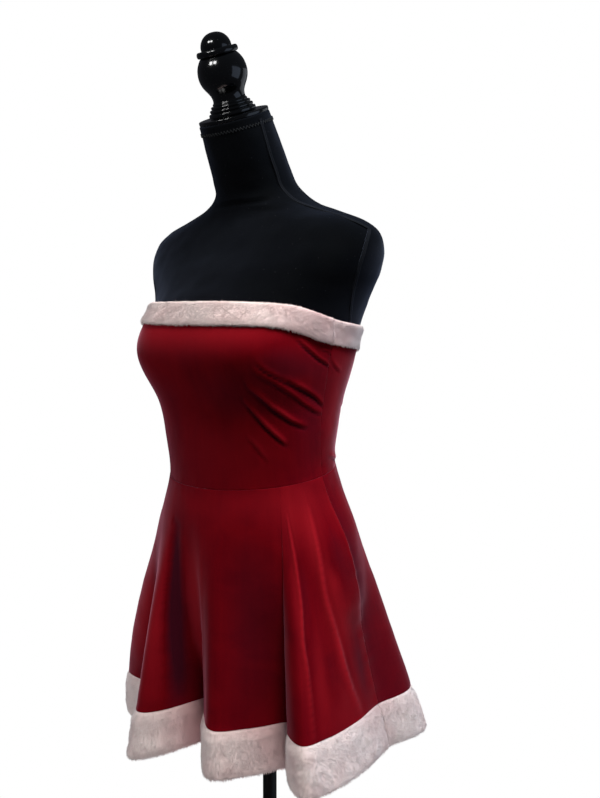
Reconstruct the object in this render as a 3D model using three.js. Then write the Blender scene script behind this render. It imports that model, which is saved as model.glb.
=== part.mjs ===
// A strapless santa dress of stretch velvet with plush trims, worn by a limbless dress form
// with a turned finial, which stands on a pole and a round foot.
// Millimetres, +Z up. The front of the dress faces -Y, and the wearer's left is +X.
// The origin is on the floor, on the axis of the pole.
import * as THREE from "three";

// ---- Driving sizes -------------------------------------------------------------------------

const SEAM_GAP = 0.3; // between pieces that are sewn, screwed or pressed together
const HEM_SEAM_GAP = 0.4; // measured upright, where the hem plush meets the slanting edge of the velvet
const VELVET = 2; // wall of the stretch velvet, with its backing and seam allowances
const BODICE_EASE = 0.5; // air between the form and the bodice
const SKIRT_EASE = 1; // air between the form and the top of the skirt
const HIP_EASE = 1.035; // the skirt keeps this many times the hip outline from its centre
const HIP_BLEND = 0.07; // how softly the skirt settles onto the hip, in the same measure
// Shares of the drop where the hip takes full hold of the skirt, and where it lets it go.
const HIP_HOLD = { full: 0.25, from: 0.56, gone: 0.85 };

const WAIST = 1028; // height of the centre of the waist seam
const HEM = 669; // lowest edge of the plush at a fold's crest
const HEM_CENTRE = 0; // y of the middle of the hem outline, on the pole
const HEM_MEAN = 186; // mean radius of the hem
const RED_SHARE = 0.836; // share of the skirt's drop that is velvet; the rest is plush
const FOLD_START = 0; // share of the drop where folds begin
const FOLD_FULL = 0.5; // share of the drop where they reach their full depth

const NECK_PLUSH = { rows: 4, reach: 7, back: 0.5, edge: 0.65 };
const HEM_PLUSH = { reach: 11 };

const POLE = { radius: 9.5, sides: 24 };
const FOOT = { radius: 160, thick: 8, edge: 2.5, collarRadius: 17, collarHeight: 42, sides: 48 };
const FLANGE = { radius: 42, thick: 6, bossRadius: 16, bossHeight: 26 };
const CAP = { radius: 45.5, thick: 5, edge: 1, sides: 36 };
const FINIAL_SIDES = 24;

const AROUND = 48; // columns round the form and the bodice
const PER_FOLD = 4; // columns for each row of the fold table
const DEGREES = Math.PI / 180;

// ---- The form's sections -------------------------------------------------------------------

// Each row is one ring of the form: the height and the y of its centre, how far its plane leans
// forwards in degrees, its half width, its depth in front of and behind the centre, its
// squareness (2 is an ellipse) and how far the bust pushes it forwards.
const FORM = [
  { ring: "underside", height: 825, y: -30, lean: 0, half: 144, front: 96, back: 102, square: 2.1, bust: 0 },
  { ring: "hip", height: 875, y: -30, lean: 0, half: 150, front: 100, back: 110, square: 2.1, bust: 0 },
  { ring: "high hip", height: 955, y: -32, lean: 5, half: 139, front: 94, back: 102, square: 2.05, bust: 0 },
  { ring: "waist", height: 1028, y: -37, lean: 10.8, half: 119, front: 90, back: 92, square: 2, bust: 0 },
  { ring: "ribs", height: 1088, y: -37, lean: 7, half: 124, front: 94, back: 95, square: 2, bust: 2 },
  { ring: "under bust", height: 1121, y: -34, lean: 1, half: 129, front: 98, back: 93, square: 2, bust: 9.5 },
  { ring: "bust", height: 1168, y: -29, lean: -8, half: 139, front: 103, back: 100, square: 2, bust: 38 },
  { ring: "neckline", height: 1227, y: -27, lean: -11, half: 151, front: 98, back: 112, square: 2, bust: 12 },
  { ring: "armpit", height: 1256, y: -24, lean: -6, half: 162, front: 93, back: 115, square: 2.05, bust: 5 },
  { ring: "shoulder blade", height: 1284, y: -20, lean: -2, half: 178, front: 86, back: 105, square: 2.15, bust: 1 },
  { ring: "shoulder", height: 1310, y: -17, lean: 0, half: 185, front: 74, back: 88, square: 2.25, bust: 0 },
  { ring: "shoulder edge", height: 1332, y: -15, lean: 0, half: 179, front: 64, back: 75, square: 2.25, bust: 0 },
  { ring: "shoulder top", height: 1347, y: -15, lean: 1, half: 158, front: 57, back: 67, square: 2.2, bust: 0 },
  { ring: "slope", height: 1360, y: -16, lean: 3, half: 122, front: 52, back: 62, square: 2.1, bust: 0 },
  { ring: "slope top", height: 1374, y: -20, lean: 6, half: 84, front: 48, back: 57, square: 2, bust: 0 },
  { ring: "neck base", height: 1393, y: -26, lean: 12, half: 59, front: 46, back: 53.5, square: 2, bust: 0 },
  { ring: "neck low", height: 1413, y: -35, lean: 17, half: 53, front: 46.5, back: 51.5, square: 2, bust: 0 },
  { ring: "neck", height: 1442, y: -48, lean: 21, half: 50, front: 47.5, back: 48, square: 2, bust: 0 },
  { ring: "neck top", height: 1481, y: -67, lean: 22, half: 46.5, front: 46.5, back: 46.5, square: 2, bust: 0 },
];
// The two mounds of the bust: the angle of each from the front, its spread, how much of the push
// goes sideways, and how far the padding fills the hollow between them.
const BUST = { angle: 42, spread: 24, sideways: 0.1, between: 0.42 };

// Heights of the rings that the form's solid is lofted through, and those of the bodice.
const FORM_ROWS_BELOW = [825, 860, 910, 955, 995];
const BODICE_ROWS = [1028, 1048, 1071, 1095, 1119, 1142, 1160, 1176, 1193, 1200, 1208, 1215, 1222];
const FORM_ROWS_ABOVE = [1242, 1258, 1275, 1292, 1310, 1324, 1336, 1347, 1357, 1367, 1380, 1395, 1412, 1440, 1481];

// How far the neckline rises above its row at each angle. The rows near it follow.
const NECKLINE = [
  { angle: -180, lift: 3 },
  { angle: -120, lift: 5 },
  { angle: -78, lift: 8 },
  { angle: -50, lift: 8 },
  { angle: -22, lift: 1 },
  { angle: 5, lift: -1 },
  { angle: 32, lift: -1 },
  { angle: 54, lift: 2 },
  { angle: 82, lift: -3 },
  { angle: 118, lift: 3 },
  { angle: 180, lift: 3 },
];
const NECKLINE_PULL = { from: 1150, full: 1193, held: 1222, gone: 1310 };

// ---- The skirt's folds ---------------------------------------------------------------------

// Each row is one crest, valley, edge or slope of the folds, round the skirt from the wearer's
// right side seam by the front: its angle at the waist and at the hem (from the front, towards
// the wearer's left), its radius at the hem, how far it bows out half-way down, and how far its
// hem edge is lifted.
const FOLDS = [
  { fold: "right seam", waist: -90, hem: -92, radius: 170, bow: 4, lift: 3 },
  { fold: "A crest", waist: -70, hem: -69, radius: 213, bow: 13, lift: 0 },
  { fold: "A valley", waist: -50, hem: -43, radius: 160, bow: 3, lift: 5 },
  { fold: "B crest", waist: -32, hem: -19.5, radius: 202, bow: 0, lift: -4 },
  { fold: "B valley", waist: -11, hem: -3, radius: 110, bow: 0, lift: 14 },
  { fold: "C edge", waist: 1, hem: 10, radius: 158, bow: 0, lift: 8 },
  { fold: "C crest", waist: 13, hem: 18.5, radius: 188, bow: 0, lift: 1 },
  { fold: "C slope", waist: 30, hem: 32, radius: 164, bow: 0, lift: 0 },
  { fold: "C valley", waist: 51.5, hem: 49.5, radius: 152, bow: 0, lift: 3 },
  { fold: "D edge", waist: 53, hem: 48, radius: 192, bow: 0, lift: 0 },
  { fold: "D crest", waist: 57, hem: 51.5, radius: 227, bow: 0, lift: -3 },
  { fold: "D slope", waist: 64, hem: 62, radius: 211, bow: 0, lift: -3 },
  { fold: "E ridge", waist: 75, hem: 79, radius: 188, bow: 0, lift: -2 },
  { fold: "left seam", waist: 88.5, hem: 103, radius: 175, bow: 0, lift: 0 },
  { fold: "F crest", waist: 118, hem: 128, radius: 213, bow: -1, lift: 0 },
  { fold: "F valley", waist: 139, hem: 152, radius: 166, bow: 2, lift: 4 },
  { fold: "G crest", waist: 160, hem: 171, radius: 207, bow: 2, lift: 0 },
  { fold: "G valley", waist: 181, hem: 190, radius: 163, bow: 3, lift: 4 },
  { fold: "H crest", waist: 203, hem: 208, radius: 210, bow: 1, lift: 0 },
  { fold: "H valley", waist: 225, hem: 228, radius: 162, bow: 3, lift: 4 },
  { fold: "I crest", waist: 247, hem: 247, radius: 205, bow: 4, lift: 0 },
];
const RIGHT_SEAM = 0; // rows of the table that are side seams
const LEFT_SEAM = 13;

// ---- Curves and surfaces -------------------------------------------------------------------

const mix = (a, b, share) => a + (b - a) * share;
const power = (value, exponent) => Math.sign(value) * Math.abs(value) ** exponent;

// A smooth step from 0 at the first edge to 1 at the second.
function ramp(from, to, value) {
  const share = Math.min(1, Math.max(0, (value - from) / (to - from)));
  return share * share * (3 - 2 * share);
}

// The larger of two values, rounded over a width where they are close.
function softMax(a, b, width) {
  return (a + b + Math.hypot(a - b, width)) / 2;
}

// A cubic through two values with the given slopes, at a share of the way between them.
function cubic(a, b, slopeA, slopeB, share) {
  const s2 = share * share;
  const s3 = s2 * share;
  return (2 * s3 - 3 * s2 + 1) * a + (s3 - 2 * s2 + share) * slopeA
    + (3 * s2 - 2 * s3) * b + (s3 - s2) * slopeB;
}

// One column of a table, on a smooth curve through its rows, where another column has a value.
function through(rows, across, key, at) {
  const last = rows.length - 2;
  const above = rows.findIndex((row) => row[across] > at);
  const i = Math.min(last, Math.max(0, (above < 0 ? last + 1 : above) - 1));
  const slope = (k) => {
    const low = rows[Math.max(0, k - 1)];
    const high = rows[Math.min(rows.length - 1, k + 1)];
    return (high[key] - low[key]) / (high[across] - low[across]);
  };
  const span = rows[i + 1][across] - rows[i][across];
  const share = (at - rows[i][across]) / span;
  return cubic(rows[i][key], rows[i + 1][key], slope(i) * span, slope(i + 1) * span, share);
}

const formSize = (key, height) => through(FORM, "height", key, height);

// The height of a row of the bodice or the form at an angle: near the neckline it follows it.
function rowHeight(row, angle) {
  const { from, full, held, gone } = NECKLINE_PULL;
  const pull = ramp(from, full, row) * (1 - ramp(held, gone, row));
  return row + through(NECKLINE, "angle", "lift", angle) * pull;
}

// A point on the form's surface: the angle is from the front towards the wearer's left.
function formPoint(angle, height) {
  const size = (key) => formSize(key, height);
  const exponent = 2 / size("square");
  const side = Math.sin(angle * DEGREES);
  const ahead = Math.cos(angle * DEGREES);
  const mound = (centre) => Math.exp(-((angle - centre) ** 2) / (2 * BUST.spread ** 2));
  const left = mound(BUST.angle);
  const right = mound(-BUST.angle);
  const depth = (ahead > 0 ? size("front") : size("back")) * power(ahead, exponent)
    + size("bust") * (left + right + BUST.between * mound(0));
  const lean = size("lean") * DEGREES;
  return new THREE.Vector3(
    size("half") * power(side, exponent) + size("bust") * BUST.sideways * (left - right),
    size("y") - depth * Math.cos(lean),
    height - depth * Math.sin(lean),
  );
}

// One column of the fold table at a place along it, on a smooth closed curve through its rows.
function foldSize(key, place) {
  const count = FOLDS.length;
  const turn = key === "waist" || key === "hem" ? 360 : 0;
  const value = (k) => FOLDS[((k % count) + count) % count][key] + Math.floor(k / count) * turn;
  const i = Math.floor(place);
  const slope = (k) => (value(k + 1) - value(k - 1)) / 2;
  return cubic(value(i), value(i + 1), slope(i), slope(i + 1), place - i);
}

// A point of the skirt, from the waist seam at drop 0 to the plush's edge at drop 1.
function skirtPoint(place, drop) {
  const top = moved(formPoint, wrap(foldSize("waist", place)), WAIST, SKIRT_EASE + VELVET / 2);
  const folded = ramp(FOLD_START, FOLD_FULL, drop);
  const bow = 2 * foldSize("bow", place) * Math.sin(Math.PI * drop);
  const radius = mix(HEM_MEAN, foldSize("radius", place), folded) + bow;
  const angle = foldSize("hem", place) * DEGREES;
  const x = mix(top.x, radius * Math.sin(angle), drop);
  const y = mix(top.y, HEM_CENTRE - radius * Math.cos(angle), drop);
  const z = mix(top.z, HEM + foldSize("lift", place), drop);
  // Below the waist the cloth settles onto the hip and hangs from its widest part.
  const height = Math.max(z, FORM[0].height);
  const centre = formSize("y", height);
  const depth = y < centre ? formSize("front", height) : formSize("back", height);
  const reach = Math.hypot(x / formSize("half", height), (y - centre) / depth);
  const held = ramp(0, HIP_HOLD.full, drop) - ramp(HIP_HOLD.from, HIP_HOLD.gone, drop);
  const kept = mix(reach, softMax(reach, HIP_EASE, HIP_BLEND), held) / reach;
  return new THREE.Vector3(x * kept, centre + (y - centre) * kept, z);
}

// An angle brought between -180 and 180 degrees.
function wrap(angle) {
  return ((angle + 180) % 360 + 360) % 360 - 180;
}

// A surface's point moved out along its normal, which a small step each way gives. A level move
// keeps the point's height.
function moved(surface, u, v, distance, level = false) {
  const step = 0.01;
  const along = surface(u + step, v).sub(surface(u - step, v));
  const up = surface(u, v + step).sub(surface(u, v - step));
  const normal = along.cross(up);
  if (level) normal.z = 0;
  return surface(u, v).addScaledVector(normal.normalize(), distance);
}

// ---- Solids --------------------------------------------------------------------------------

function geometry(points, faces) {
  const positions = new Float32Array(points.flatMap((p) => [p.x, p.y, p.z]));
  const made = new THREE.BufferGeometry();
  made.setAttribute("position", new THREE.BufferAttribute(positions, 3));
  made.setIndex(faces.flat());
  return made;
}

// A curved slab: point(i, j, 1) is its outer skin and point(i, j, 0) its inner one, with i
// running to the wearer's left round the outside and j upwards.
function slab(columns, rows, point) {
  const points = [];
  const faces = [];
  const at = (i, j, skin) => (skin * (columns + 1) + i) * (rows + 1) + j;
  for (const skin of [0, 1]) {
    for (let i = 0; i <= columns; i++) {
      for (let j = 0; j <= rows; j++) points.push(point(i, j, skin));
    }
  }
  const quad = (a, b, c, d) => faces.push([a, b, c], [a, c, d]);
  for (let i = 0; i < columns; i++) {
    for (let j = 0; j < rows; j++) {
      quad(at(i, j, 1), at(i + 1, j, 1), at(i + 1, j + 1, 1), at(i, j + 1, 1));
      quad(at(i, j, 0), at(i, j + 1, 0), at(i + 1, j + 1, 0), at(i + 1, j, 0));
    }
    quad(at(i, 0, 0), at(i + 1, 0, 0), at(i + 1, 0, 1), at(i, 0, 1));
    quad(at(i, rows, 1), at(i + 1, rows, 1), at(i + 1, rows, 0), at(i, rows, 0));
  }
  for (let j = 0; j < rows; j++) {
    quad(at(0, j, 0), at(0, j, 1), at(0, j + 1, 1), at(0, j + 1, 0));
    quad(at(columns, j, 1), at(columns, j, 0), at(columns, j + 1, 0), at(columns, j + 1, 1));
  }
  return geometry(points, faces);
}

// A closed solid through rings of points, each a list of the same length, bottom ring first.
function loft(rings) {
  const count = rings[0].length;
  const points = rings.flat();
  const faces = [];
  for (let r = 0; r < rings.length - 1; r++) {
    for (let i = 0; i < count; i++) {
      const [a, b] = [r * count + i, r * count + ((i + 1) % count)];
      faces.push([a, b, b + count], [a, b + count, a + count]);
    }
  }
  const middle = (ring) => {
    const sum = ring.reduce((total, p) => total.add(p), new THREE.Vector3());
    return points.push(sum.divideScalar(count)) - 1;
  };
  const bottom = middle(rings[0]);
  const top = middle(rings[rings.length - 1]);
  const lastRing = (rings.length - 1) * count;
  for (let i = 0; i < count; i++) {
    const next = (i + 1) % count;
    faces.push([bottom, next, i], [top, lastRing + i, lastRing + next]);
  }
  return geometry(points, faces);
}

// A turned solid about +Z from a profile of [radius, height] pairs, bottom first.
function turned(profile, sides) {
  const points = profile.map(([radius, height]) => new THREE.Vector2(radius, height));
  return new THREE.LatheGeometry(points, sides).rotateX(Math.PI / 2);
}

// ---- Materials and meshes ------------------------------------------------------------------

const RED_VELVET = new THREE.MeshStandardMaterial({ color: 0x7a0a14, roughness: 0.85 });
const WHITE_PLUSH = new THREE.MeshStandardMaterial({ color: 0xe6dcda, roughness: 0.95 });
const BLACK_VELVET = new THREE.MeshStandardMaterial({ color: 0x14161a, roughness: 0.9 });
const BLACK_LACQUER = new THREE.MeshStandardMaterial({ color: 0x08080a, roughness: 0.2 });
const BLACK_STEEL = new THREE.MeshStandardMaterial({ color: 0x101114, roughness: 0.45, metalness: 0.6 });

const part = new THREE.Group();

function add(name, shape, material, parent = part) {
  const mesh = new THREE.Mesh(shape, material);
  mesh.name = name;
  parent.add(mesh);
  return mesh;
}

// ---- The dress form and its stand ----------------------------------------------------------

function makeForm() {
  const heights = [...FORM_ROWS_BELOW, ...BODICE_ROWS, ...FORM_ROWS_ABOVE];
  const angles = Array.from({ length: AROUND }, (_, i) => wrap((i * 360) / AROUND - 90));
  const rings = heights.map((row) => angles.map((angle) => formPoint(angle, rowHeight(row, angle))));
  add("form_torso", loft(rings), BLACK_VELVET);
}

function makeCapAndFinial() {
  const neck = FORM[FORM.length - 1];
  const seat = new THREE.Group();
  seat.position.set(0, neck.y, neck.height);
  seat.rotation.x = neck.lean * DEGREES;
  part.add(seat);
  const { radius, thick, edge, sides } = CAP;
  const low = SEAM_GAP;
  const high = SEAM_GAP + thick;
  const disc = [[0, low], [radius - edge, low], [radius, low + edge], [radius, high - edge],
    [radius - edge, high], [0, high]];
  add("neck_cap", turned(disc, sides), BLACK_LACQUER, seat);
  // The turning, from its stepped foot by the bulb and the ring to the dome: radius and height.
  const foot = [[0, 0], [30.5, 0], [30.5, 5], [28, 6.5], [27, 10], [25.4, 11], [25.4, 13.5],
    [22.6, 15]];
  const bulb = [[21, 18], [21.4, 25], [24.6, 31], [29.2, 39.5], [31.6, 49.5], [31, 58],
    [28, 66], [24, 72]];
  const bead = { radius: 22.2, height: 77, thick: 4.1 };
  const beadArc = [-60, -20, 20, 60].map((angle) => [
    bead.radius + bead.thick * Math.cos(angle * DEGREES),
    bead.height + bead.thick * Math.sin(angle * DEGREES),
  ]);
  const dome = { radius: 19.6, height: 81 };
  const domeArc = [0, 18, 36, 54, 72, 90].map((angle) => [
    dome.radius * Math.cos(angle * DEGREES),
    dome.height + dome.radius * Math.sin(angle * DEGREES),
  ]);
  domeArc[domeArc.length - 1][0] = 0;
  const finial = add("finial", turned([...foot, ...bulb, ...beadArc, ...domeArc], FINIAL_SIDES),
    BLACK_LACQUER, seat);
  finial.position.z = high + SEAM_GAP;
}

function makeStand() {
  const bore = POLE.radius + SEAM_GAP;
  const top = FORM[0].height - SEAM_GAP;
  const { radius, thick, edge, collarRadius, collarHeight } = FOOT;
  const plate = [[0, 0], [radius - edge, 0], [radius, edge], [radius, thick - edge],
    [radius - edge, thick], [0, thick]];
  add("foot_plate", turned(plate, FOOT.sides), BLACK_STEEL);
  const collarBase = thick + SEAM_GAP;
  const collar = [[bore, collarBase], [collarRadius, collarBase],
    [collarRadius, collarBase + collarHeight - 3], [collarRadius - 3, collarBase + collarHeight],
    [bore, collarBase + collarHeight], [bore, collarBase]];
  add("foot_collar", turned(collar, POLE.sides), BLACK_STEEL);
  const pole = [[0, collarBase], [POLE.radius, collarBase], [POLE.radius, top], [0, top]];
  add("pole", turned(pole, POLE.sides), BLACK_STEEL);
  const under = top - FLANGE.thick;
  const flange = [[bore, under - FLANGE.bossHeight], [FLANGE.bossRadius, under - FLANGE.bossHeight],
    [FLANGE.bossRadius, under], [FLANGE.radius, under], [FLANGE.radius, top], [bore, top],
    [bore, under - FLANGE.bossHeight]];
  add("form_flange", turned(flange, POLE.sides), BLACK_STEEL);
}

// ---- The dress -----------------------------------------------------------------------------

// Both halves of a piece round the form, which meet at the side seams a seam gap apart.
function formHalves(make) {
  const columns = AROUND / 2;
  const trim = (SEAM_GAP / 2 / FORM.find((row) => row.ring === "waist").half) / DEGREES;
  const span = (180 - 2 * trim) / columns;
  make("front", columns, (i) => -90 + trim + i * span);
  make("back", columns, (i) => wrap(90 + trim + i * span));
}

function makeBodice() {
  const rows = BODICE_ROWS.length - 1;
  const low = BODICE_ROWS[0] + SEAM_GAP;
  formHalves((half, columns, angle) => {
    const point = (i, j, skin) => {
      const height = j === 0 ? low : rowHeight(BODICE_ROWS[j], angle(i));
      return moved(formPoint, angle(i), height, BODICE_EASE + skin * VELVET);
    };
    add(`bodice_${half}`, slab(columns, rows, point), RED_VELVET);
  });
}

// The plush band on the bodice's top rows, thinner at its edges and on the back.
function makeNeckPlush() {
  const rows = NECK_PLUSH.rows;
  const first = BODICE_ROWS.length - 1 - rows;
  formHalves((half, columns, angle) => {
    const reach = NECK_PLUSH.reach * (half === "back" ? NECK_PLUSH.back : 1);
    const point = (i, j, skin) => {
      const base = BODICE_EASE + VELVET + SEAM_GAP;
      const out = base + skin * reach * mix(NECK_PLUSH.edge, 1, Math.sin((j / rows) * Math.PI));
      return moved(formPoint, angle(i), rowHeight(BODICE_ROWS[first + j], angle(i)), out);
    };
    add(`neck_plush_${half}`, slab(columns, rows, point), WHITE_PLUSH);
  });
}

function makeSkirt() {
  const halves = [["front", RIGHT_SEAM, LEFT_SEAM], ["back", LEFT_SEAM, FOLDS.length]];
  const trim = 0.004;
  for (const [half, from, to] of halves) {
    const columns = (to - from) * PER_FOLD;
    const place = (i) => mix(from + trim, to - trim, i / columns);
    const rows = 8;
    const velvet = (i, j, skin) => {
      const drop = mix(RED_SHARE, SEAM_GAP / (WAIST - HEM), j / rows);
      return moved(skirtPoint, place(i), drop, (0.5 - skin) * VELVET, true);
    };
    add(`skirt_${half}`, slab(columns, rows, velvet), RED_VELVET);
    const bands = 4;
    const plush = (i, j, skin) => {
      const share = j / bands;
      const drop = mix(1, RED_SHARE + HEM_SEAM_GAP / (WAIST - HEM), share);
      const round = Math.sqrt(1 - (2 * share - 1) ** 4 * 0.75);
      return moved(skirtPoint, place(i), drop, (0.5 - skin) * HEM_PLUSH.reach * round, true);
    };
    add(`hem_plush_${half}`, slab(columns, bands, plush), WHITE_PLUSH);
  }
}

makeStand();
makeForm();
makeCapAndFinial();
makeBodice();
makeNeckPlush();
makeSkirt();

export default part;
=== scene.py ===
"""Looks of a strapless santa dress on a dress form.

The dress is of red stretch velvet with a band of white plush round its neckline and its hem. The
form is a limbless body under a black velvet cover, with a flat neck cap, a turned finial, a pole
and a round foot.

Lengths are millimetres until a mesh is made. Angles are degrees from the front of the form
towards the wearer's left. The front faces -Y, and the wearer's left is +X.
"""

import logging
import math
from collections.abc import Callable, Sequence
from dataclasses import dataclass
from enum import Enum
from typing import TypeVar

import bpy
import numpy as np
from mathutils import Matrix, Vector


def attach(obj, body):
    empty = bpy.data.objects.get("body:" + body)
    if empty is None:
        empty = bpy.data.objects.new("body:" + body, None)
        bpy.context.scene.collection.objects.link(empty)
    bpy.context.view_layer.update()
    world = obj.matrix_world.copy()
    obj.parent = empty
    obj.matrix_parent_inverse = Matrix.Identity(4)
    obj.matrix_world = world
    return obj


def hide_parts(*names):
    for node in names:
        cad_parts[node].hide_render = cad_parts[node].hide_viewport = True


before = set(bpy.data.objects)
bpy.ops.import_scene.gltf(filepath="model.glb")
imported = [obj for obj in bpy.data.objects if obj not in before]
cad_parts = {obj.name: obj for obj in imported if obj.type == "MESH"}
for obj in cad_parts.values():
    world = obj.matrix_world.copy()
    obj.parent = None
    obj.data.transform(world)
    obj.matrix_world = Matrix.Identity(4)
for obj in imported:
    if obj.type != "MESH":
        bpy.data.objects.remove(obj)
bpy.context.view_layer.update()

log = logging.getLogger("santa_dress")

MM = 0.001  # metres in a millimetre
SEAM_GAP = 0.3  # between pieces that are sewn, screwed or pressed together
NUDGE = 0.01  # the small step, in degrees, rows or rises, that slopes are taken over
FULL_TURN = 2 * math.pi
BODY = "root"  # nothing moves, so every piece rides on the one body
CLOTH_UV = "cloth"  # the UV map of a cut piece: metres along and up the cloth

Array = np.ndarray
Piece = bpy.types.Object
Material = bpy.types.Material
Surface = Callable[[Array, Array], Array]
Socket = bpy.types.NodeSocket
Places = tuple[tuple[float, float], ...]
Choice = TypeVar("Choice")


class Half(Enum):
    """The two halves that the dress is cut in, which meet at the side seams."""

    FRONT = "front"
    BACK = "back"

    def pick(self, front: Choice, back: Choice) -> Choice:
        """Of two values, the one for this half."""
        return front if self is Half.FRONT else back


class Slot(Enum):
    """The record's material slots."""

    RED_VELVET = "red_velvet"
    WHITE_PLUSH = "white_plush"
    FORM_VELVET = "form_velvet"
    LACQUER = "finial_lacquer"
    STEEL = "black_steel"


# ---- Curves ----


def mix(low: Array, high: Array, share: Array) -> Array:
    """The value that lies at a share of the way from low to high."""
    return low + (high - low) * share


def ramp(start: float, end: float, value: Array) -> Array:
    """A smooth step: 0 up to the start, 1 from the end, and 3s² - 2s³ between them."""
    share = np.clip((value - start) / (end - start), 0, 1)
    return share * share * (3 - 2 * share)


def bell(value: Array, spread: float) -> Array:
    """A bell curve of height 1 about zero: e to the power of -(value / spread)² / 2."""
    return np.exp(-((value / spread) ** 2) / 2)


def power(value: Array, exponent: Array) -> Array:
    """A power that keeps the sign of its base."""
    return np.sign(value) * np.abs(value) ** exponent


def soft_max(a: Array, b: float, width: float) -> Array:
    """The larger of two values, rounded: half of a + b + the root of (a - b)² + width²."""
    return (a + b + np.hypot(a - b, width)) / 2


def wrap(angle: Array) -> Array:
    """An angle brought between -180 and 180 degrees."""
    return (angle + 180) % 360 - 180


def unit(vectors: Array) -> Array:
    """Vectors made one long."""
    return vectors / np.linalg.norm(vectors, axis=-1)[..., None]


def circle(count: int) -> Array:
    """Angles in radians, evenly round a circle."""
    return np.linspace(0, FULL_TURN, count, endpoint=False)


def through(knots: Array, values: Array, at: Array) -> Array:
    """A smooth curve through a table of values.

    Formula: between two knots runs the cubic that has their values, and at each of them the
    slope of the straight line between the knot's two neighbours.

    Args:
        knots: Where the table's rows are, rising.
        values: The value of each row.
        at: Where the curve is wanted.

    Returns:
        The curve's value at each place.
    """
    last = len(knots) - 1
    before = np.maximum(np.arange(last + 1) - 1, 0)
    after = np.minimum(np.arange(last + 1) + 1, last)
    slopes = (values[after] - values[before]) / (knots[after] - knots[before])
    i = np.clip(np.searchsorted(knots, at, side="right") - 1, 0, last - 1)
    span = knots[i + 1] - knots[i]
    s = (at - knots[i]) / span
    s2, s3 = s * s, s * s * s
    return (
        (2 * s3 - 3 * s2 + 1) * values[i]
        + (s3 - 2 * s2 + s) * slopes[i] * span
        + (3 * s2 - 2 * s3) * values[i + 1]
        + (s3 - s2) * slopes[i + 1] * span
    )


def rounded_corners(line: Array, times: int) -> Array:
    """A line whose corners are cut.

    Formula: each time, every stretch is replaced by its points at a quarter and at three
    quarters, and the two ends stay.

    Args:
        line: The corners, one a row.
        times: How often they are cut.

    Returns:
        The smoother line's points.
    """
    for _ in range(times):
        a, b = line[:-1], line[1:]
        cut = np.stack([mix(a, b, 0.25), mix(a, b, 0.75)], axis=1).reshape(-1, line.shape[1])
        line = np.concatenate([line[:1], cut, line[-1:]])
    return line


def edge_stations(length: float, step: float, roll: float) -> Array:
    """Places along a piece of cloth, close together where its edges roll in.

    Args:
        length: How long the piece is.
        step: The usual spacing.
        roll: How far from an edge the roll reaches.

    Returns:
        Shares of the length from 0 to 1.
    """
    near = np.array([0, 0.12, 0.3, 0.55, 1.0]) * roll
    between = np.linspace(roll, length - roll, max(2, round((length - 2 * roll) / step)))
    return np.concatenate([near[:-1], between, length - near[:-1][::-1]]) / length


def edge_roll(distance: Array, roll: float) -> Array:
    """How full a cloth is near an edge: a quarter circle from 0 at the edge to 1 at the roll."""
    short = 1 - np.clip(distance / roll, 0, 1)
    return np.sqrt(1 - short * short)


@dataclass(frozen=True)
class Waves:
    """Smooth unevenness in space, the same at each run.

    Formula: the height times the sum of sine waves in random directions, over a number that
    brings most of the sum between -1 and 1.
    """

    length: float
    seed: int
    height: float = 1.0
    count: int = 14

    def at(self, points: Array) -> Array:
        """The waves' height at each place in space."""
        rng = np.random.default_rng(self.seed)
        ways = unit(rng.normal(size=(self.count, 3)))
        lengths = self.length * rng.uniform(0.7, 1.5, self.count)
        phases = rng.uniform(0, FULL_TURN, self.count)
        turns = points @ (ways * (FULL_TURN / lengths)[:, None]).T + phases
        return self.height * (np.sin(turns).sum(axis=-1) * math.sqrt(2 / self.count) / 1.6)


@dataclass(frozen=True)
class Pucker:
    """Gathers along a seam.

    Formula: waves in places that are scaled, so that they draw out long across the seam, times
    a bell curve of the distance from it.
    """

    waves: Waves
    scale: tuple[float, float, float]
    reach: float

    def at(self, points: Array, distance: Array) -> Array:
        """The gathers' height at points that lie at a distance from the seam."""
        return self.waves.at(points * self.scale) * bell(distance, self.reach)


def normals(surface: Surface, u: Array, v: Array, level: bool = False) -> Array:
    """The outward unit normals of a surface.

    Formula: the cross product of a small step along and a small step up, made one long.

    Args:
        surface: Gives points from places along and up it.
        u: Places along, rising to the wearer's left.
        v: Places up.
        level: Whether the normals are kept level.

    Returns:
        One normal for each place.
    """
    along = surface(u + NUDGE, v) - surface(u - NUDGE, v)
    up = surface(u, v + NUDGE) - surface(u, v - NUDGE)
    return unit(np.cross(along, up) * (1, 1, not level))


def ring_normals(points: Array) -> Array:
    """The unit normals of a grid whose last row joins the first, from each point's neighbours."""
    along = np.gradient(points, axis=1)
    up = np.roll(points, -1, axis=0) - np.roll(points, 1, axis=0)
    out = np.cross(along, up)
    return out / np.maximum(np.linalg.norm(out, axis=-1), 1e-9)[..., None]


# ---- Creases ----


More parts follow.
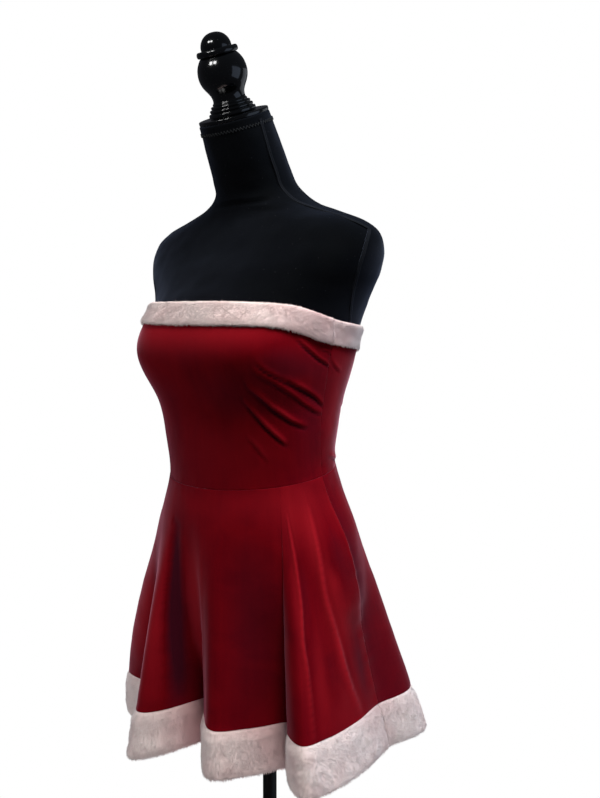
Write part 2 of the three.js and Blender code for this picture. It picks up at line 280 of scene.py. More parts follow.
@dataclass(frozen=True)
class Crease:
    """A soft ridge in stretched cloth with a trough along its lower side.

    path holds places along and up the piece. rise is the ridge's height, sink the trough's depth
    and width how wide the ridge's lower flank is. steep is how much wider its upper flank is.
    """

    path: Places
    rise: float
    sink: float
    width: float
    steep: float = 1.9
    stations: int = 48  # points that stand for the path
    fullness: float = 0.4  # small, so that the ends start clearly

    def lift(self, places: Array, scale: float) -> Array:
        """How far the crease lifts or sinks places of a piece.

        Formula: a bell curve of the distance from the path, wider on the upper side, less a
        narrower bell along the lower side. Both swell and fade along the path with a low power
        of a sine.

        Args:
            places: Places along and up the piece, in millimetres.
            scale: Millimetres along the piece for one unit of the path's first number.

        Returns:
            The lift of each place.
        """
        knots = np.arange(len(self.path), dtype=float)
        shares = np.linspace(0, knots[-1], self.stations)
        corners = np.array(self.path) * (scale, 1)
        line = np.stack([through(knots, corners[:, k], shares) for k in (0, 1)], axis=-1)
        away = places[:, None] - line
        squares = (away**2).sum(axis=-1)
        nearest = squares.argmin(axis=1)
        tangent = unit(np.gradient(line, axis=0))
        offset = np.take_along_axis(away, nearest[:, None, None], axis=1)[:, 0]
        side = tangent[nearest, 0] * offset[:, 1] - tangent[nearest, 1] * offset[:, 0]
        side = np.where(side < 0, -1.0, 1.0) * np.sqrt(squares.min(axis=1))
        share = np.clip(nearest / (self.stations - 1), 0.01, 0.99)
        swell = np.sin(math.pi * share) ** self.fullness
        flank = np.where(side > 0, self.width * self.steep, self.width)
        lift = self.rise * bell(side, flank / 1.6)
        lift -= self.sink * bell(side + 1.3 * self.width, self.width / 2)
        return lift * swell


@dataclass(frozen=True)
class PaintedPatch:
    """A patch of painted light and shade on the velvet: lighter where its amount is above 0,
    deeper below.

    place and height are its middle, along and up its sizes in millimetres, and amount is 1 for
    the lightest painted light and -1 for the deepest painted shade.
    """

    place: float
    height: float
    along: float
    up: float
    amount: float

    def pile(self, places: Array, scale: float) -> Array:
        """The amount at each place: times a bell curve along the piece and one up it."""
        along = bell(places[:, 0] - self.place * scale, self.along)
        return self.amount * along * bell(places[:, 1] - self.height, self.up)


def worked(marks: Sequence[Callable[[Array, float], Array]], u: Array, v: Array,
           scale: float) -> Array:
    """The sum of what creases or painted patches do to a piece.

    Args:
        marks: Each crease's lift or each stroke's pile.
        u: Places along the piece.
        v: Places up the piece, in millimetres.
        scale: Millimetres along the piece for one unit of u.

    Returns:
        A number for each place.
    """
    places = np.stack(np.broadcast_arrays(u * scale, v), axis=-1)
    total = np.zeros(places.shape[:-1])
    for mark in marks:
        total += mark(places.reshape(-1, 2), scale).reshape(total.shape)
    return total


# ---- Meshes ----


def link(name: str, data: bpy.types.ID) -> Piece:
    """A new object at the origin that carries some data, in the scene."""
    made = bpy.data.objects.new(name, data)
    bpy.context.scene.collection.objects.link(made)
    return made


def make_piece(name: str, points: Array, faces: Sequence[Array], uv: Array | None = None,
               floats: dict[str, Array] | None = None, lay: Array | None = None) -> Piece:
    """Makes a smooth-shaded mesh object at the origin.

    Args:
        name: The piece's name.
        points: Its vertices in millimetres.
        faces: Arrays of vertex numbers, one face a row, each array with its own face size.
        uv: Places on the cloth in metres, one for each vertex.
        floats: Further values, one for each vertex, under the names that materials read.
        lay: The normals that it is shaded with, one for each vertex, where they aren't its own.

    Returns:
        The object, linked into the scene.
    """
    mesh = bpy.data.meshes.new(name)
    corners = np.concatenate([f.ravel() for f in faces]).astype(np.int32)
    sizes = np.concatenate([np.full(len(f), f.shape[1]) for f in faces])
    mesh.vertices.add(len(points))
    mesh.vertices.foreach_set("co", (points * MM).astype(np.float32).ravel())
    mesh.loops.add(len(corners))
    mesh.loops.foreach_set("vertex_index", corners)
    mesh.polygons.add(len(sizes))
    mesh.polygons.foreach_set("loop_start", (np.cumsum(sizes) - sizes).astype(np.int32))
    mesh.polygons.foreach_set("use_smooth", np.ones(len(sizes), dtype=bool))
    if uv is not None:
        layer = mesh.uv_layers.new(name=CLOTH_UV)
        layer.data.foreach_set("uv", uv[corners].astype(np.float32).ravel())
    for key, values in (floats or {}).items():
        attribute = mesh.attributes.new(key, "FLOAT", "POINT")
        attribute.data.foreach_set("value", values.astype(np.float32))
    mesh.update(calc_edges=True)
    mesh.validate()
    if lay is not None:
        mesh.normals_split_custom_set_from_vertices(lay)
    return link(name, mesh)


def quads(rows: Array) -> Array:
    """The faces between neighbouring rows and columns of a grid of vertex numbers.

    Args:
        rows: Vertex numbers, rows upwards and columns to the wearer's left.

    Returns:
        One face a row of four numbers, facing outwards.
    """
    corners = [rows[:-1, :-1], rows[:-1, 1:], rows[1:, 1:], rows[1:, :-1]]
    return np.stack(corners, axis=-1).reshape(-1, 4)


def slab_faces(rows: int, columns: int) -> Array:
    """The faces of a curved slab: its outer skin, its inner skin and the rim between them.

    Args:
        rows: Rows of points in each skin.
        columns: Columns of points in each skin.

    Returns:
        One face a row. The outer skin's points are numbered first.
    """
    outer = np.arange(rows * columns).reshape(rows, columns)
    inner = outer + rows * columns
    bottom = quads(np.stack([inner[0], outer[0]]))
    top = quads(np.stack([outer[-1], inner[-1]]))
    right = quads(np.stack([inner[:, 0], outer[:, 0]], axis=1))
    left = quads(np.stack([outer[:, -1], inner[:, -1]], axis=1))
    return np.concatenate([quads(outer), quads(inner)[:, ::-1], bottom, top, right, left])


def slab(name: str, outer: Array, inner: Array, cloth: tuple[Array, Array], pile: Array) -> Piece:
    """A closed piece of cloth.

    Args:
        name: The piece's name.
        outer: The grid of its outer skin's points.
        inner: The grid of its inner skin's points.
        cloth: Millimetres along and up the cloth, for its UV map.
        pile: The painted light and shade on it: lighter above 0 and deeper below.

    Returns:
        The object.
    """
    points = np.concatenate([outer.reshape(-1, 3), inner.reshape(-1, 3)])
    uv = np.stack(np.broadcast_arrays(*cloth), axis=-1).reshape(-1, 2) * MM
    return make_piece(name, points, [slab_faces(*outer.shape[:2])], np.tile(uv, (2, 1)),
                      {"pile": np.tile(pile.ravel(), 2)})


def ring_faces(rows: int, columns: int) -> list[Array]:
    """The faces of a closed skin whose rows are rings, with a middle point under and over it.

    Args:
        rows: The number of rings, the lowest first.
        columns: Points in a ring.

    Returns:
        The quads of the skin and the triangles of both ends. The lower middle point comes after
        the rings' points and the upper one last.
    """
    ring = np.arange(rows * columns).reshape(rows, columns)
    around = np.concatenate([ring, ring[:, :1]], axis=1)
    low, high = rows * columns, rows * columns + 1
    first, last = around[0], around[-1]
    under = np.stack([np.full(columns, low), first[1:], first[:-1]], axis=1)
    over = np.stack([np.full(columns, high), last[:-1], last[1:]], axis=1)
    return [quads(around), under, over]


def closed_skin(name: str, rings: Array, **floats: Callable[[Array], Array]) -> Piece:
    """A closed piece through rings of points, with a middle point at each end.

    Args:
        name: The piece's name.
        rings: The rings, the lowest first.
        floats: How the values that materials read are worked out from the points.

    Returns:
        The object.
    """
    ends = np.stack([rings[0].mean(axis=0), rings[-1].mean(axis=0)])
    points = np.concatenate([rings.reshape(-1, 3), ends])
    return make_piece(name, points, ring_faces(*rings.shape[:2]),
                      floats={key: value(points) for key, value in floats.items()})


def along_path(name: str, path: Array, out: Array, section: Array) -> Piece:
    """A closed bar: a section carried along a path on a surface.

    Formula: each point is the path's point, plus the section's first number across the path,
    plus its second number outwards.

    Args:
        name: The piece's name.
        path: The points that it follows.
        out: The outward direction at each of them.
        section: The section's outline as (across, out) rows, turning left round the path.

    Returns:
        The object.
    """
    forward = np.gradient(path, axis=0)
    across = unit(np.cross(out, forward))
    rings = path[:, None] + across[:, None] * section[:, :1] + out[:, None] * section[:, 1:]
    return closed_skin(name, rings)


# ---- Nodes and finishes ----


def linear(colour: str) -> tuple[float, float, float, float]:
    """A hex sRGB colour as the linear numbers that shaders take.

    Formula: each channel is c / 12.92 up to 0.04045, and ((c + 0.055) / 1.055) to the 2.4 above.
    """
    channels = [int(colour[k : k + 2], 16) / 255 for k in (1, 3, 5)]
    made = [c / 12.92 if c <= 0.04045 else ((c + 0.055) / 1.055) ** 2.4 for c in channels]
    return (*made, 1.0)


def add_node(tree: bpy.types.NodeTree, kind: str, inputs: dict[str | int, object] | None = None,
             **settings: object) -> bpy.types.Node:
    """Adds a node to a tree.

    Args:
        tree: The tree.
        kind: The node's type.
        inputs: For its sockets, a value or another node's output to link.
        settings: The node's own properties.

    Returns:
        The node.
    """
    node = tree.nodes.new(kind)
    for name, value in settings.items():
        setattr(node, name, value)
    for socket, value in (inputs or {}).items():
        if isinstance(value, Socket):
            tree.links.new(value, node.inputs[socket])
        else:
            node.inputs[socket].default_value = value
    return node


class Finish:
    """A material in the making, with the nodes that several finishes need."""

    def __init__(self, name: str) -> None:
        """Starts a material with an empty tree."""
        self.material = bpy.data.materials.new(name)
        self.material.use_nodes = True
        self.tree = self.material.node_tree
        self.tree.nodes.clear()

    def place(self) -> Socket:
        """Object coordinates."""
        return add_node(self.tree, "ShaderNodeTexCoord").outputs["Object"]

    def carried(self, name: str) -> Socket:
        """The value that the mesh carries under a name."""
        return add_node(self.tree, "ShaderNodeAttribute", attribute_name=name).outputs["Fac"]

    def noise(self, place: Socket, size: float, detail: float = 2.0, **more: float) -> Socket:
        """Noise on coordinates, so many metres from swell to swell."""
        return add_node(self.tree, "ShaderNodeTexNoise", {
            "Vector": place, "Scale": 1 / size, "Detail": detail, **more}).outputs[0]

    def added(self, value: Socket, weight: float, rest: Socket) -> Socket:
        """A value times its weight, plus the rest."""
        return add_node(self.tree, "ShaderNodeMath", {0: value, 1: weight, 2: rest},
                        operation="MULTIPLY_ADD").outputs[0]

    def brought(self, value: Socket, low: float, high: float, start: float = 0.0,
                end: float = 1.0) -> Socket:
        """A value between low and high, brought between start and end."""
        return add_node(self.tree, "ShaderNodeMapRange", {
            "Value": value, "From Min": low, "From Max": high, "To Min": start, "To Max": end,
        }).outputs[0]

    def tinted(self, share: Socket, low: Socket | str, high: str) -> Socket:
        """The colour that lies at a share of the way from one colour to another."""
        low = linear(low) if isinstance(low, str) else low
        return add_node(self.tree, "ShaderNodeMix", {0: share, 6: low, 7: linear(high)},
                        data_type="RGBA").outputs[2]

    def raised(self, height: Socket, strength: float, depth: float) -> Socket:
        """The normal of a surface that a height raises, over a depth in metres."""
        return add_node(self.tree, "ShaderNodeBump", {
            "Height": height, "Strength": strength, "Distance": depth}).outputs[0]

    def done(self, **inputs: object) -> Material:
        """Ends the material with a principled surface. Its inputs have _ for a space."""
        surface = add_node(self.tree, "ShaderNodeBsdfPrincipled",
                           {key.replace("_", " "): value for key, value in inputs.items()})
        add_node(self.tree, "ShaderNodeOutputMaterial", {"Surface": surface.outputs[0]})
        return self.material


@dataclass(frozen=True)
class CrushedVelvet:
    """Knitted stretch velvet with a cut pile of 1 mm, brushed down and lightly crushed.

    The upright pile swallows light that comes straight on, which gives deep, soft shades, and
    catches it edge on, which gives a rosy bloom on every turn of a fold. Brushed patches lie a
    little lighter or darker.
    """

    shade: str = "#55030e"
    lit: str = "#690610"
    # painted highlight: the colour that patches painted lighter, and ridges, are mixed towards
    painted_highlight: str = "#8a141e"
    # painted shade with a little painted cool sheen: the colour for patches painted deeper,
    # troughs and the back skirt
    painted_shade: str = "#3b0d1a"
    bloom: str = "#eeaec8"
    bloom_weight: float = 0.47
    patch: float = 0.055  # brushed patches are about 55 mm wide
    streak: tuple[float, float] = (0.007, 0.11)  # marks of the brush, wide and long
    streak_share: float = 0.35
    grain: float = 0.0026  # tufts are 0.4 mm apart, drawn coarser so that they show at all
    grain_share: float = 0.3
    roughness: float = 0.85

    def material(self) -> Material:
        """The finish as a material that reads the cloth's own UV map and the painted light and
        shade that the mesh carries as pile.
        """
        made = Finish("crushed_stretch_velvet")
        cloth = add_node(made.tree, "ShaderNodeUVMap", uv_map=CLOTH_UV).outputs[0]
        brushed = add_node(made.tree, "ShaderNodeMapping", {
            "Vector": cloth, "Scale": (1 / self.streak[0], 1 / self.streak[1], 1.0)}).outputs[0]
        nap = made.noise(cloth, self.patch, 3.0, Roughness=0.55, Distortion=0.6)
        nap = made.added(made.noise(brushed, 1.0), self.streak_share, nap)
        nap = made.added(made.noise(cloth, self.grain), self.grain_share, nap)
        colour = made.tinted(made.brought(nap, 0.55, 1.1), self.shade, self.lit)
        # the pile value is painted light and shade: above 0 it lightens towards the painted
        # highlight, below 0 it deepens towards the painted shade
        pile = made.carried("pile")
        painted_shade_share = add_node(made.tree, "ShaderNodeMath", {0: pile, 1: -1.0}, operation="MULTIPLY")
        colour = made.tinted(pile, colour, self.painted_highlight)
        colour = made.tinted(painted_shade_share.outputs[0], colour, self.painted_shade)
        return made.done(
            Base_Color=colour, Roughness=self.roughness, Specular_IOR_Level=0.0,
            Sheen_Weight=self.bloom_weight, Sheen_Roughness=0.3,
            Sheen_Tint=linear(self.bloom), Normal=made.raised(nap, 0.35, 0.0006))


@dataclass(frozen=True)
class Plush:
    """Short polyester fleece pile, brushed up.

    Tips catch the light and roots lie in their own shade, so the band looks soft and a little
    mottled where tufts lean different ways. Deep in the skirt's folds and near the armpit it is
    painted pinker and darker: painted shade, with painted red light from the velvet.
    """

    root: str = "#f3e5e4"
    tip: str = "#fff9f8"
    shade: str = "#e4c8c8"
    # painted shade with painted red light from the velvet, deep in the folds and near the armpit
    painted_fold_shade: str = "#d3a3a6"
    mottle: float = 0.038  # tufts that lean together are about 38 mm wide
    mottled: float = 0.55  # how much of the shade such a place takes on
    uneven: float = 0.08  # how much of it a single fibre does

    def material(self) -> Material:
        """The finish as a material that reads each fibre's own shade, its place along it and its
        painted fold shade.
        """
        made = Finish("brushed_fleece_plush")
        mottle = made.noise(made.place(), self.mottle, 3.0)
        share = made.brought(mottle, 0.42, 0.72, end=self.mottled)
        share = made.added(made.carried("fibre"), self.uneven, share)
        colour = made.tinted(made.carried("tip"), self.root, self.tip)
        colour = made.tinted(share, colour, self.shade)
        # painted fold shade: the folded value mixes in the pinker, darker painted colour
        colour = made.tinted(made.carried("folded"), colour, self.painted_fold_shade)
        return made.done(Base_Color=colour, Roughness=0.95, Specular_IOR_Level=0.15,
                         Sheen_Weight=0.15, Sheen_Roughness=0.5)


@dataclass(frozen=True)
class FormVelvet:
    """The form's cover: black cotton velvet stretched over foam.

    It is nearly without shade, with a faint cool bloom where it turns away and a few specks of
    lint.
    """

    name: str = "black_cotton_velvet"
    base: str = "#030406"
    worn: str = "#090b0d"
    bloom: str = "#a6b8de"
    dust: str = "#4a4d52"
    patch: float = 0.04  # rubbed patches are about 40 mm wide
    lint: float = 0.009  # lint lies about 9 mm apart
    grain: float = 0.0018  # tufts are 0.3 mm apart, drawn coarser so that they show at all

    def material(self) -> Material:
        """The finish as a material on Object coordinates."""
        made = Finish(self.name)
        place = made.place()
        specks = add_node(made.tree, "ShaderNodeTexVoronoi",
                          {"Vector": place, "Scale": 1 / self.lint})
        near = made.brought(specks.outputs["Distance"], 0.02, 0.07, 0.35, 0.0)
        colour = made.tinted(made.noise(place, self.patch, 5.0), self.base, self.worn)
        return made.done(
            Base_Color=made.tinted(near, colour, self.dust), Roughness=0.9,
            Specular_IOR_Level=0.05, Sheen_Weight=0.16, Sheen_Roughness=0.4,
            Sheen_Tint=linear(self.bloom),
            Normal=made.raised(made.noise(place, self.grain, 1.0), 0.3, 0.0004))


@dataclass(frozen=True)
class Thread:
    """Black polyester sewing thread, which looks dark grey on velvet because it shines."""

    base: str = "#24272a"
    twist: float = 0.0012  # its twist is 0.4 mm, drawn coarser so that it shows

    def material(self) -> Material:
        """The finish as a material on Object coordinates."""
        made = Finish("black_polyester_thread")
        twist = made.noise(made.place(), self.twist)
        return made.done(Base_Color=linear(self.base), Roughness=0.5,
                         Normal=made.raised(twist, 0.4, 0.0002))


@dataclass(frozen=True)
class Lacquer:
    """Black gloss lacquer, sprayed on turned beech: sharp small lights with a slight ripple."""

    base: str = "#030405"
    ripple: float = 0.012  # orange peel, about 12 mm from swell to swell

    def material(self) -> Material:
        """The finish as a material on Object coordinates."""
        made = Finish("black_gloss_lacquer")
        swell = made.noise(made.place(), self.ripple, 1.0)
        return made.done(
            Base_Color=linear(self.base), Roughness=made.brought(swell, 0, 1, 0.12, 0.2),
            IOR=1.5, Coat_Weight=0.6, Coat_Roughness=0.05,
            Normal=made.raised(swell, 0.12, 0.0006))


@dataclass(frozen=True)
class SatinSteel:
    """Mild steel under black satin powder paint: a dull sheen and a fine even pebble."""

    base: str = "#0b0c0e"
    pebble: float = 0.0016  # the paint's pebble is 0.3 mm, drawn coarser so that it shows
    scuff: float = 0.03  # handling has dulled it in places about 30 mm wide

    def material(self) -> Material:
        """The finish as a material on Object coordinates."""
        made = Finish("black_satin_powder_paint")
        place = made.place()
        scuffs = made.noise(place, self.scuff, 6.0)
        return made.done(
            Base_Color=linear(self.base), Roughness=made.brought(scuffs, 0, 1, 0.34, 0.55),
            IOR=1.5, Normal=made.raised(made.noise(place, self.pebble, 1.0), 0.2, 0.0002))


@dataclass(frozen=True)
class PaleFloor:
    """A matt pale studio floor that glows a little, so that it stays white round the foot."""

    base: str = "#f4f3f1"
    glow: float = 0.1

    def material(self) -> Material:
        """The finish as a plain material."""
        return Finish("matt_studio_floor").done(
            Base_Color=linear(self.base), Roughness=0.9, Emission_Color=linear("#ffffff"),
            Emission_Strength=self.glow)


def dress_piece(piece: Piece, material: Material, slot: Slot, *nodes: str) -> Piece:
    """Gives a piece its material and its place in the frame.

    Args:
        piece: The piece.
        material: Its finish.
        slot: The record's slot that the finish is for; not used.
        nodes: The solids that it stands for.

    Returns:
        The piece.
    """
    piece.data.materials.append(material)
    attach(piece, BODY)
    if nodes:
        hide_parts(*nodes)
    log.info("%s: %d faces, for %s", piece.name, len(piece.data.polygons), nodes or "trim")
    return piece


# ---- The form and the stand ----


@dataclass(frozen=True)
class FormShape:
    """The form's surface, through stacked rings.

    Each ring has the height and the y of its centre, the lean of its plane forwards, its half
    width, its depth before and behind the centre, its squareness (2 is an ellipse) and how far
    the bust pushes it forwards.
    """

    columns: tuple[str, ...] = (
        "height", "y", "lean", "half", "front", "back", "square", "bust")
    rings: tuple[tuple[float, ...], ...] = (
        (825, -30, 0, 144, 96, 102, 2.1, 0),  # underside
        (875, -30, 0, 150, 100, 110, 2.1, 0),  # hip
        (955, -32, 5, 139, 94, 102, 2.05, 0),  # high hip
        (1028, -37, 10.8, 119, 90, 92, 2, 0),  # waist
        (1088, -37, 7, 124, 94, 95, 2, 2),  # ribs
        (1121, -34, 1, 129, 98, 93, 2, 9.5),  # under the bust
        (1168, -29, -8, 139, 103, 100, 2, 38),  # bust
        (1227, -27, -11, 151, 98, 112, 2, 12),  # neckline
        (1256, -24, -6, 162, 93, 115, 2.05, 5),  # armpit
        (1284, -20, -2, 178, 86, 105, 2.15, 1),  # shoulder blade
        (1310, -17, 0, 185, 74, 88, 2.25, 0),  # shoulder
        (1332, -15, 0, 179, 64, 75, 2.25, 0),  # shoulder edge
        (1347, -15, 1, 158, 57, 67, 2.2, 0),  # shoulder top
        (1360, -16, 3, 122, 52, 62, 2.1, 0),  # slope
        (1374, -20, 6, 84, 48, 57, 2, 0),  # slope top
        (1393, -26, 12, 59, 46, 53.5, 2, 0),  # neck base
        (1413, -35, 17, 53, 46.5, 51.5, 2, 0),  # low neck
        (1442, -48, 21, 50, 47.5, 48, 2, 0),  # neck
        (1481, -67, 22, 46.5, 46.5, 46.5, 2, 0),  # neck top
    )
    bust_angle: float = 42
    bust_spread: float = 24
    bust_sideways: float = 0.1
    bust_between: float = 0.42
    # How far the neckline rises above its row: (angle, lift). The rows near it follow.
    neckline: Places = (
        (-180, 3), (-120, 5), (-78, 8), (-50, 8), (-22, 1), (5, -1), (32, -1), (54, 2),
        (82, -3), (118, 3), (180, 3))
    neckline_pull: tuple[float, float, float, float] = (1150, 1193, 1222, 1310)
    # Where the dress's left side seam lies: (row, angle). The right one mirrors it.
    side_seam: Places = (
        (1028, 90), (1052, 87.5), (1078, 84.6), (1105, 83), (1150, 83), (1193, 82), (1222, 77.5))

    def size(self, name: str, height: Array) -> Array:
        """One column of the table at a height, on a smooth curve through its rows."""
        table = np.array(self.rings, dtype=float)
        return through(table[:, 0], table[:, self.columns.index(name)], height)

    def point(self, angle: Array, height: Array) -> Array:
        """Points of the surface.

        Formula: a ring is a superellipse, its half width times the sine and its depth times the
        cosine, each to the power 2 / squareness. The bust adds bell curves about its two angles
        and a lower one between them. The ring's plane then leans forwards about its centre.

        Args:
            angle: From the front towards the wearer's left.
            height: Of the ring's centre.

        Returns:
            A point for each place.
        """
        angle, height = np.broadcast_arrays(np.asarray(angle, float), np.asarray(height, float))
        exponent = 2 / self.size("square", height)
        ahead = np.cos(np.radians(angle))
        left = bell(angle - self.bust_angle, self.bust_spread)
        right = bell(angle + self.bust_angle, self.bust_spread)
        middle = bell(angle, self.bust_spread)
        bust = self.size("bust", height)
        reach = np.where(ahead > 0, self.size("front", height), self.size("back", height))
        depth = reach * power(ahead, exponent) + bust * (
            left + right + self.bust_between * middle)
        lean = np.radians(self.size("lean", height))
        x = self.size("half", height) * power(np.sin(np.radians(angle)), exponent)
        x = x + bust * self.bust_sideways * (left - right)
        y = self.size("y", height) - depth * np.cos(lean)
        return np.stack([x, y, height - depth * np.sin(lean)], axis=-1)

    def lifted(self, angle: Array, row: Array) -> Array:
        """The height of a row of the dress: near the neckline, it follows the neckline's rise."""
        table = np.array(self.neckline, dtype=float)
        start, full, held, gone = self.neckline_pull
        pull = ramp(start, full, row) * (1 - ramp(held, gone, row))
        return row + through(table[:, 0], table[:, 1], angle) * pull

    def span(self, half: Half, row: Array, along: Array, trim: float) -> Array:
        """Angles across a half of the dress.

        Args:
            half: Which half.
            row: The row of each place.
            along: Its share of the way from one side seam to the other.
            trim: Degrees that the half keeps off the seams.

        Returns:
            The angle of each place.
        """
        table = np.array(self.side_seam)
        seam = through(table[:, 0], table[:, 1], row)
        if half is Half.FRONT:
            return mix(trim - seam, seam - trim, along)
        return mix(seam + trim, 360 - seam - trim, along)

    def out(self, angle: Array, height: Array) -> Array:
        """The surface's outward normals."""
        return normals(self.point, angle, height)

    def off(self, angle: Array, height: Array, distance: Array) -> Array:
        """Points at a distance off the surface, along its normal."""
        return self.point(angle, height) + self.out(angle, height) * distance[..., None]


@dataclass
class DressForm:
    """The padded body with its cover, its seams and the stitched edge at the neck."""

    shape: FormShape
    velvet: Material
    wear_and_painted_light: Material  # the velvet where its pile is worn off, on the seams
    thread: Material
    around: int = 176
    hidden_below: float = 1180.0  # the dress covers the form up to here
    hidden_step: float = 12.0
    shown_step: float = 3.4
    tucked: float = 2.2  # how much the body gives way under the dress
    underside_round: float = 9.0
    neck_round: float = 1.6
    seam_width: float = 2.6
    seam_rise: float = 0.95
    stitch_height: float = 1471.0
    stitch_round: float = 47.0  # the neck's radius there
    stitch_pitch: float = 4.2
    stitch_swing: float = 1.7
    thread_radius: float = 0.4
    thread_lift: float = 0.45
    softness: tuple[Waves, ...] = (Waves(70, 3, 0.5), Waves(24, 4, 0.2))
    # Seams as (angle, height) places on the wearer's left, from the neck down.
    shoulder_seam: Places = (
        (82.5, 1476), (80, 1455), (77.8, 1434), (77.8, 1415.5), (73.5, 1391.5), (69.5, 1375),
        (69.8, 1361.5), (72, 1349), (79, 1339), (86, 1332.5))
    armhole_seam: Places = (
        (86, 1332.5), (80.5, 1318), (79, 1300), (80.2, 1282.5), (85, 1263), (89, 1247.5),
        (93.8, 1224.5), (96, 1205))
    neck_creases: tuple[Crease, ...] = (
        Crease(((-32, 1385), (-19.8, 1382.5), (4, 1384.5), (28.5, 1383.5), (44, 1388)),
               1.2, 2.4, 4.0),
        Crease(((12, 1374), (34, 1370), (52, 1376)), 0.7, 0.9, 5.0),
    )

    def cover(self) -> Piece:
        """The velvet cover over the padded body, closed under the hip and under the neck cap."""
        low, high = self.shape.rings[0][0], self.shape.rings[-1][0]
        heights = np.concatenate([
            low + np.array([0, 0.08, 0.3, 0.62, 1]) * self.underside_round,
            np.arange(low + 16, self.hidden_below, self.hidden_step),
            np.arange(self.hidden_below + 3, high - 3, self.shown_step),
            high - np.array([3, 1.8, 0.8, 0.2, 0]),
        ])
        angles = np.linspace(-90, 270, self.around, endpoint=False)
        angle, height = np.meshgrid(wrap(angles), heights)
        tuck = ramp(low, low + 40, height) * (
            1 - ramp(self.hidden_below - 10, self.hidden_below + 15, height))
        inset = self.underside_round * (1 - edge_roll(height - low, self.underside_round))
        inset = inset + self.neck_round * (1 - edge_roll(high - height, self.neck_round))
        base = self.shape.point(angle, height)
        soft = sum(waves.at(base) for waves in self.softness)
        lifted = worked([c.lift for c in self.neck_creases], angle, height, 1.0)
        lifted = lifted + soft * (1 - tuck)
        rings = self.shape.off(angle, height, lifted - self.tucked * tuck - inset)
        piece = closed_skin("form_cover", rings)
        return dress_piece(piece, self.velvet, Slot.FORM_VELVET, "form_torso")

    def seam(self, name: str, places: Places, side: int) -> Piece:
        """A lapped seam: a low double welt along a smooth line on the cover.

        Args:
            name: The piece's name.
            places: (angle, height) places that it runs through.
            side: 1 on the wearer's left and -1 on the right.

        Returns:
            The piece.
        """
        table = np.array(places, dtype=float)
        knots = np.arange(len(table), dtype=float)
        at = np.linspace(0, knots[-1], 26 * len(table))
        angle = through(knots, table[:, 0], at) * side
        height = through(knots, table[:, 1], at)
        path = self.shape.off(angle, height, np.full(len(at), 0.15))
        across = np.array([-1, -0.72, -0.3, 0, 0.3, 0.72, 1]) * self.seam_width
        rise = np.array([-0.6, 1, 0.75, 0.1, 0.75, 1, -0.6]) * self.seam_rise
        section = np.stack([np.append(across, 0), np.append(rise, -0.9)], axis=1)
        piece = along_path(name, path, self.shape.out(angle, height), section)
        return dress_piece(piece, self.wear_and_painted_light, Slot.FORM_VELVET)

    def stitches(self) -> Piece:
        """Zigzag thread that holds the cover's turned edge below the cap.

        Formula: the height swings up and down evenly with the angle, eight points a turn.
        """
        turns = round(FULL_TURN * self.stitch_round / self.stitch_pitch)
        at = np.linspace(0, 1, turns * 8 + 1)
        height = self.stitch_height + self.stitch_swing * (np.abs(at * turns % 1 * 4 - 2) - 1)
        angle = wrap(at * 360 - 180 + 1e-3)
        path = self.shape.off(angle, height, np.full(len(at), self.thread_lift))
        turn = circle(6)
        section = np.stack([np.cos(turn), np.sin(turn)], axis=1) * self.thread_radius
        piece = along_path("neck_hem_stitches", path, self.shape.out(angle, height), section)
        return dress_piece(piece, self.thread, Slot.FORM_VELVET)

    def build(self) -> None:
        """Builds the cover, its seams on both sides and the neck's stitches."""
        self.cover()
        for label, side in (("left", 1), ("right", -1)):
            self.seam(f"shoulder_seam_{label}", self.shoulder_seam, side)
            self.seam(f"armhole_seam_{label}", self.armhole_seam, side)
        self.stitches()


@dataclass
class TurnedPart:
    """A part turned about its axis, which stands for one solid of the frame.

    profile holds (radius, height) corners from the bottom up. smooth is how often they are cut.
    A part that leans does so about the middle of the neck's top.
    """

    node: str
    profile: Places
    smooth: int = 1
    sides: int = 72
    lift: float = 0.0
    lean: float = 0.0
    seat: tuple[float, float, float] = (0.0, 0.0, 0.0)

    def build(self, material: Material, slot: Slot) -> Piece:
        """Turns the profile.

        Formula: each corner goes round the axis as radius times cosine and sine. Then the part
        leans about X by its angle and moves to its seat.

        Args:
            material: The finish.
            slot: The record's slot that it is for.

        Returns:
            The piece.
        """
        line = rounded_corners(np.array(self.profile, dtype=float), self.smooth)
        turn = circle(self.sides)
        radius, height = line[:, :1], line[:, 1:] + self.lift
        x, y = radius * np.cos(turn), radius * np.sin(turn)
        z = np.broadcast_to(height, x.shape)
        lean = math.radians(self.lean)
        tilted = [x, y * math.cos(lean) - z * math.sin(lean),
                  y * math.sin(lean) + z * math.cos(lean)]
        rings = np.stack(tilted, axis=-1) + self.seat
        return dress_piece(closed_skin(f"{self.node}_turned", rings), material, slot, self.node)


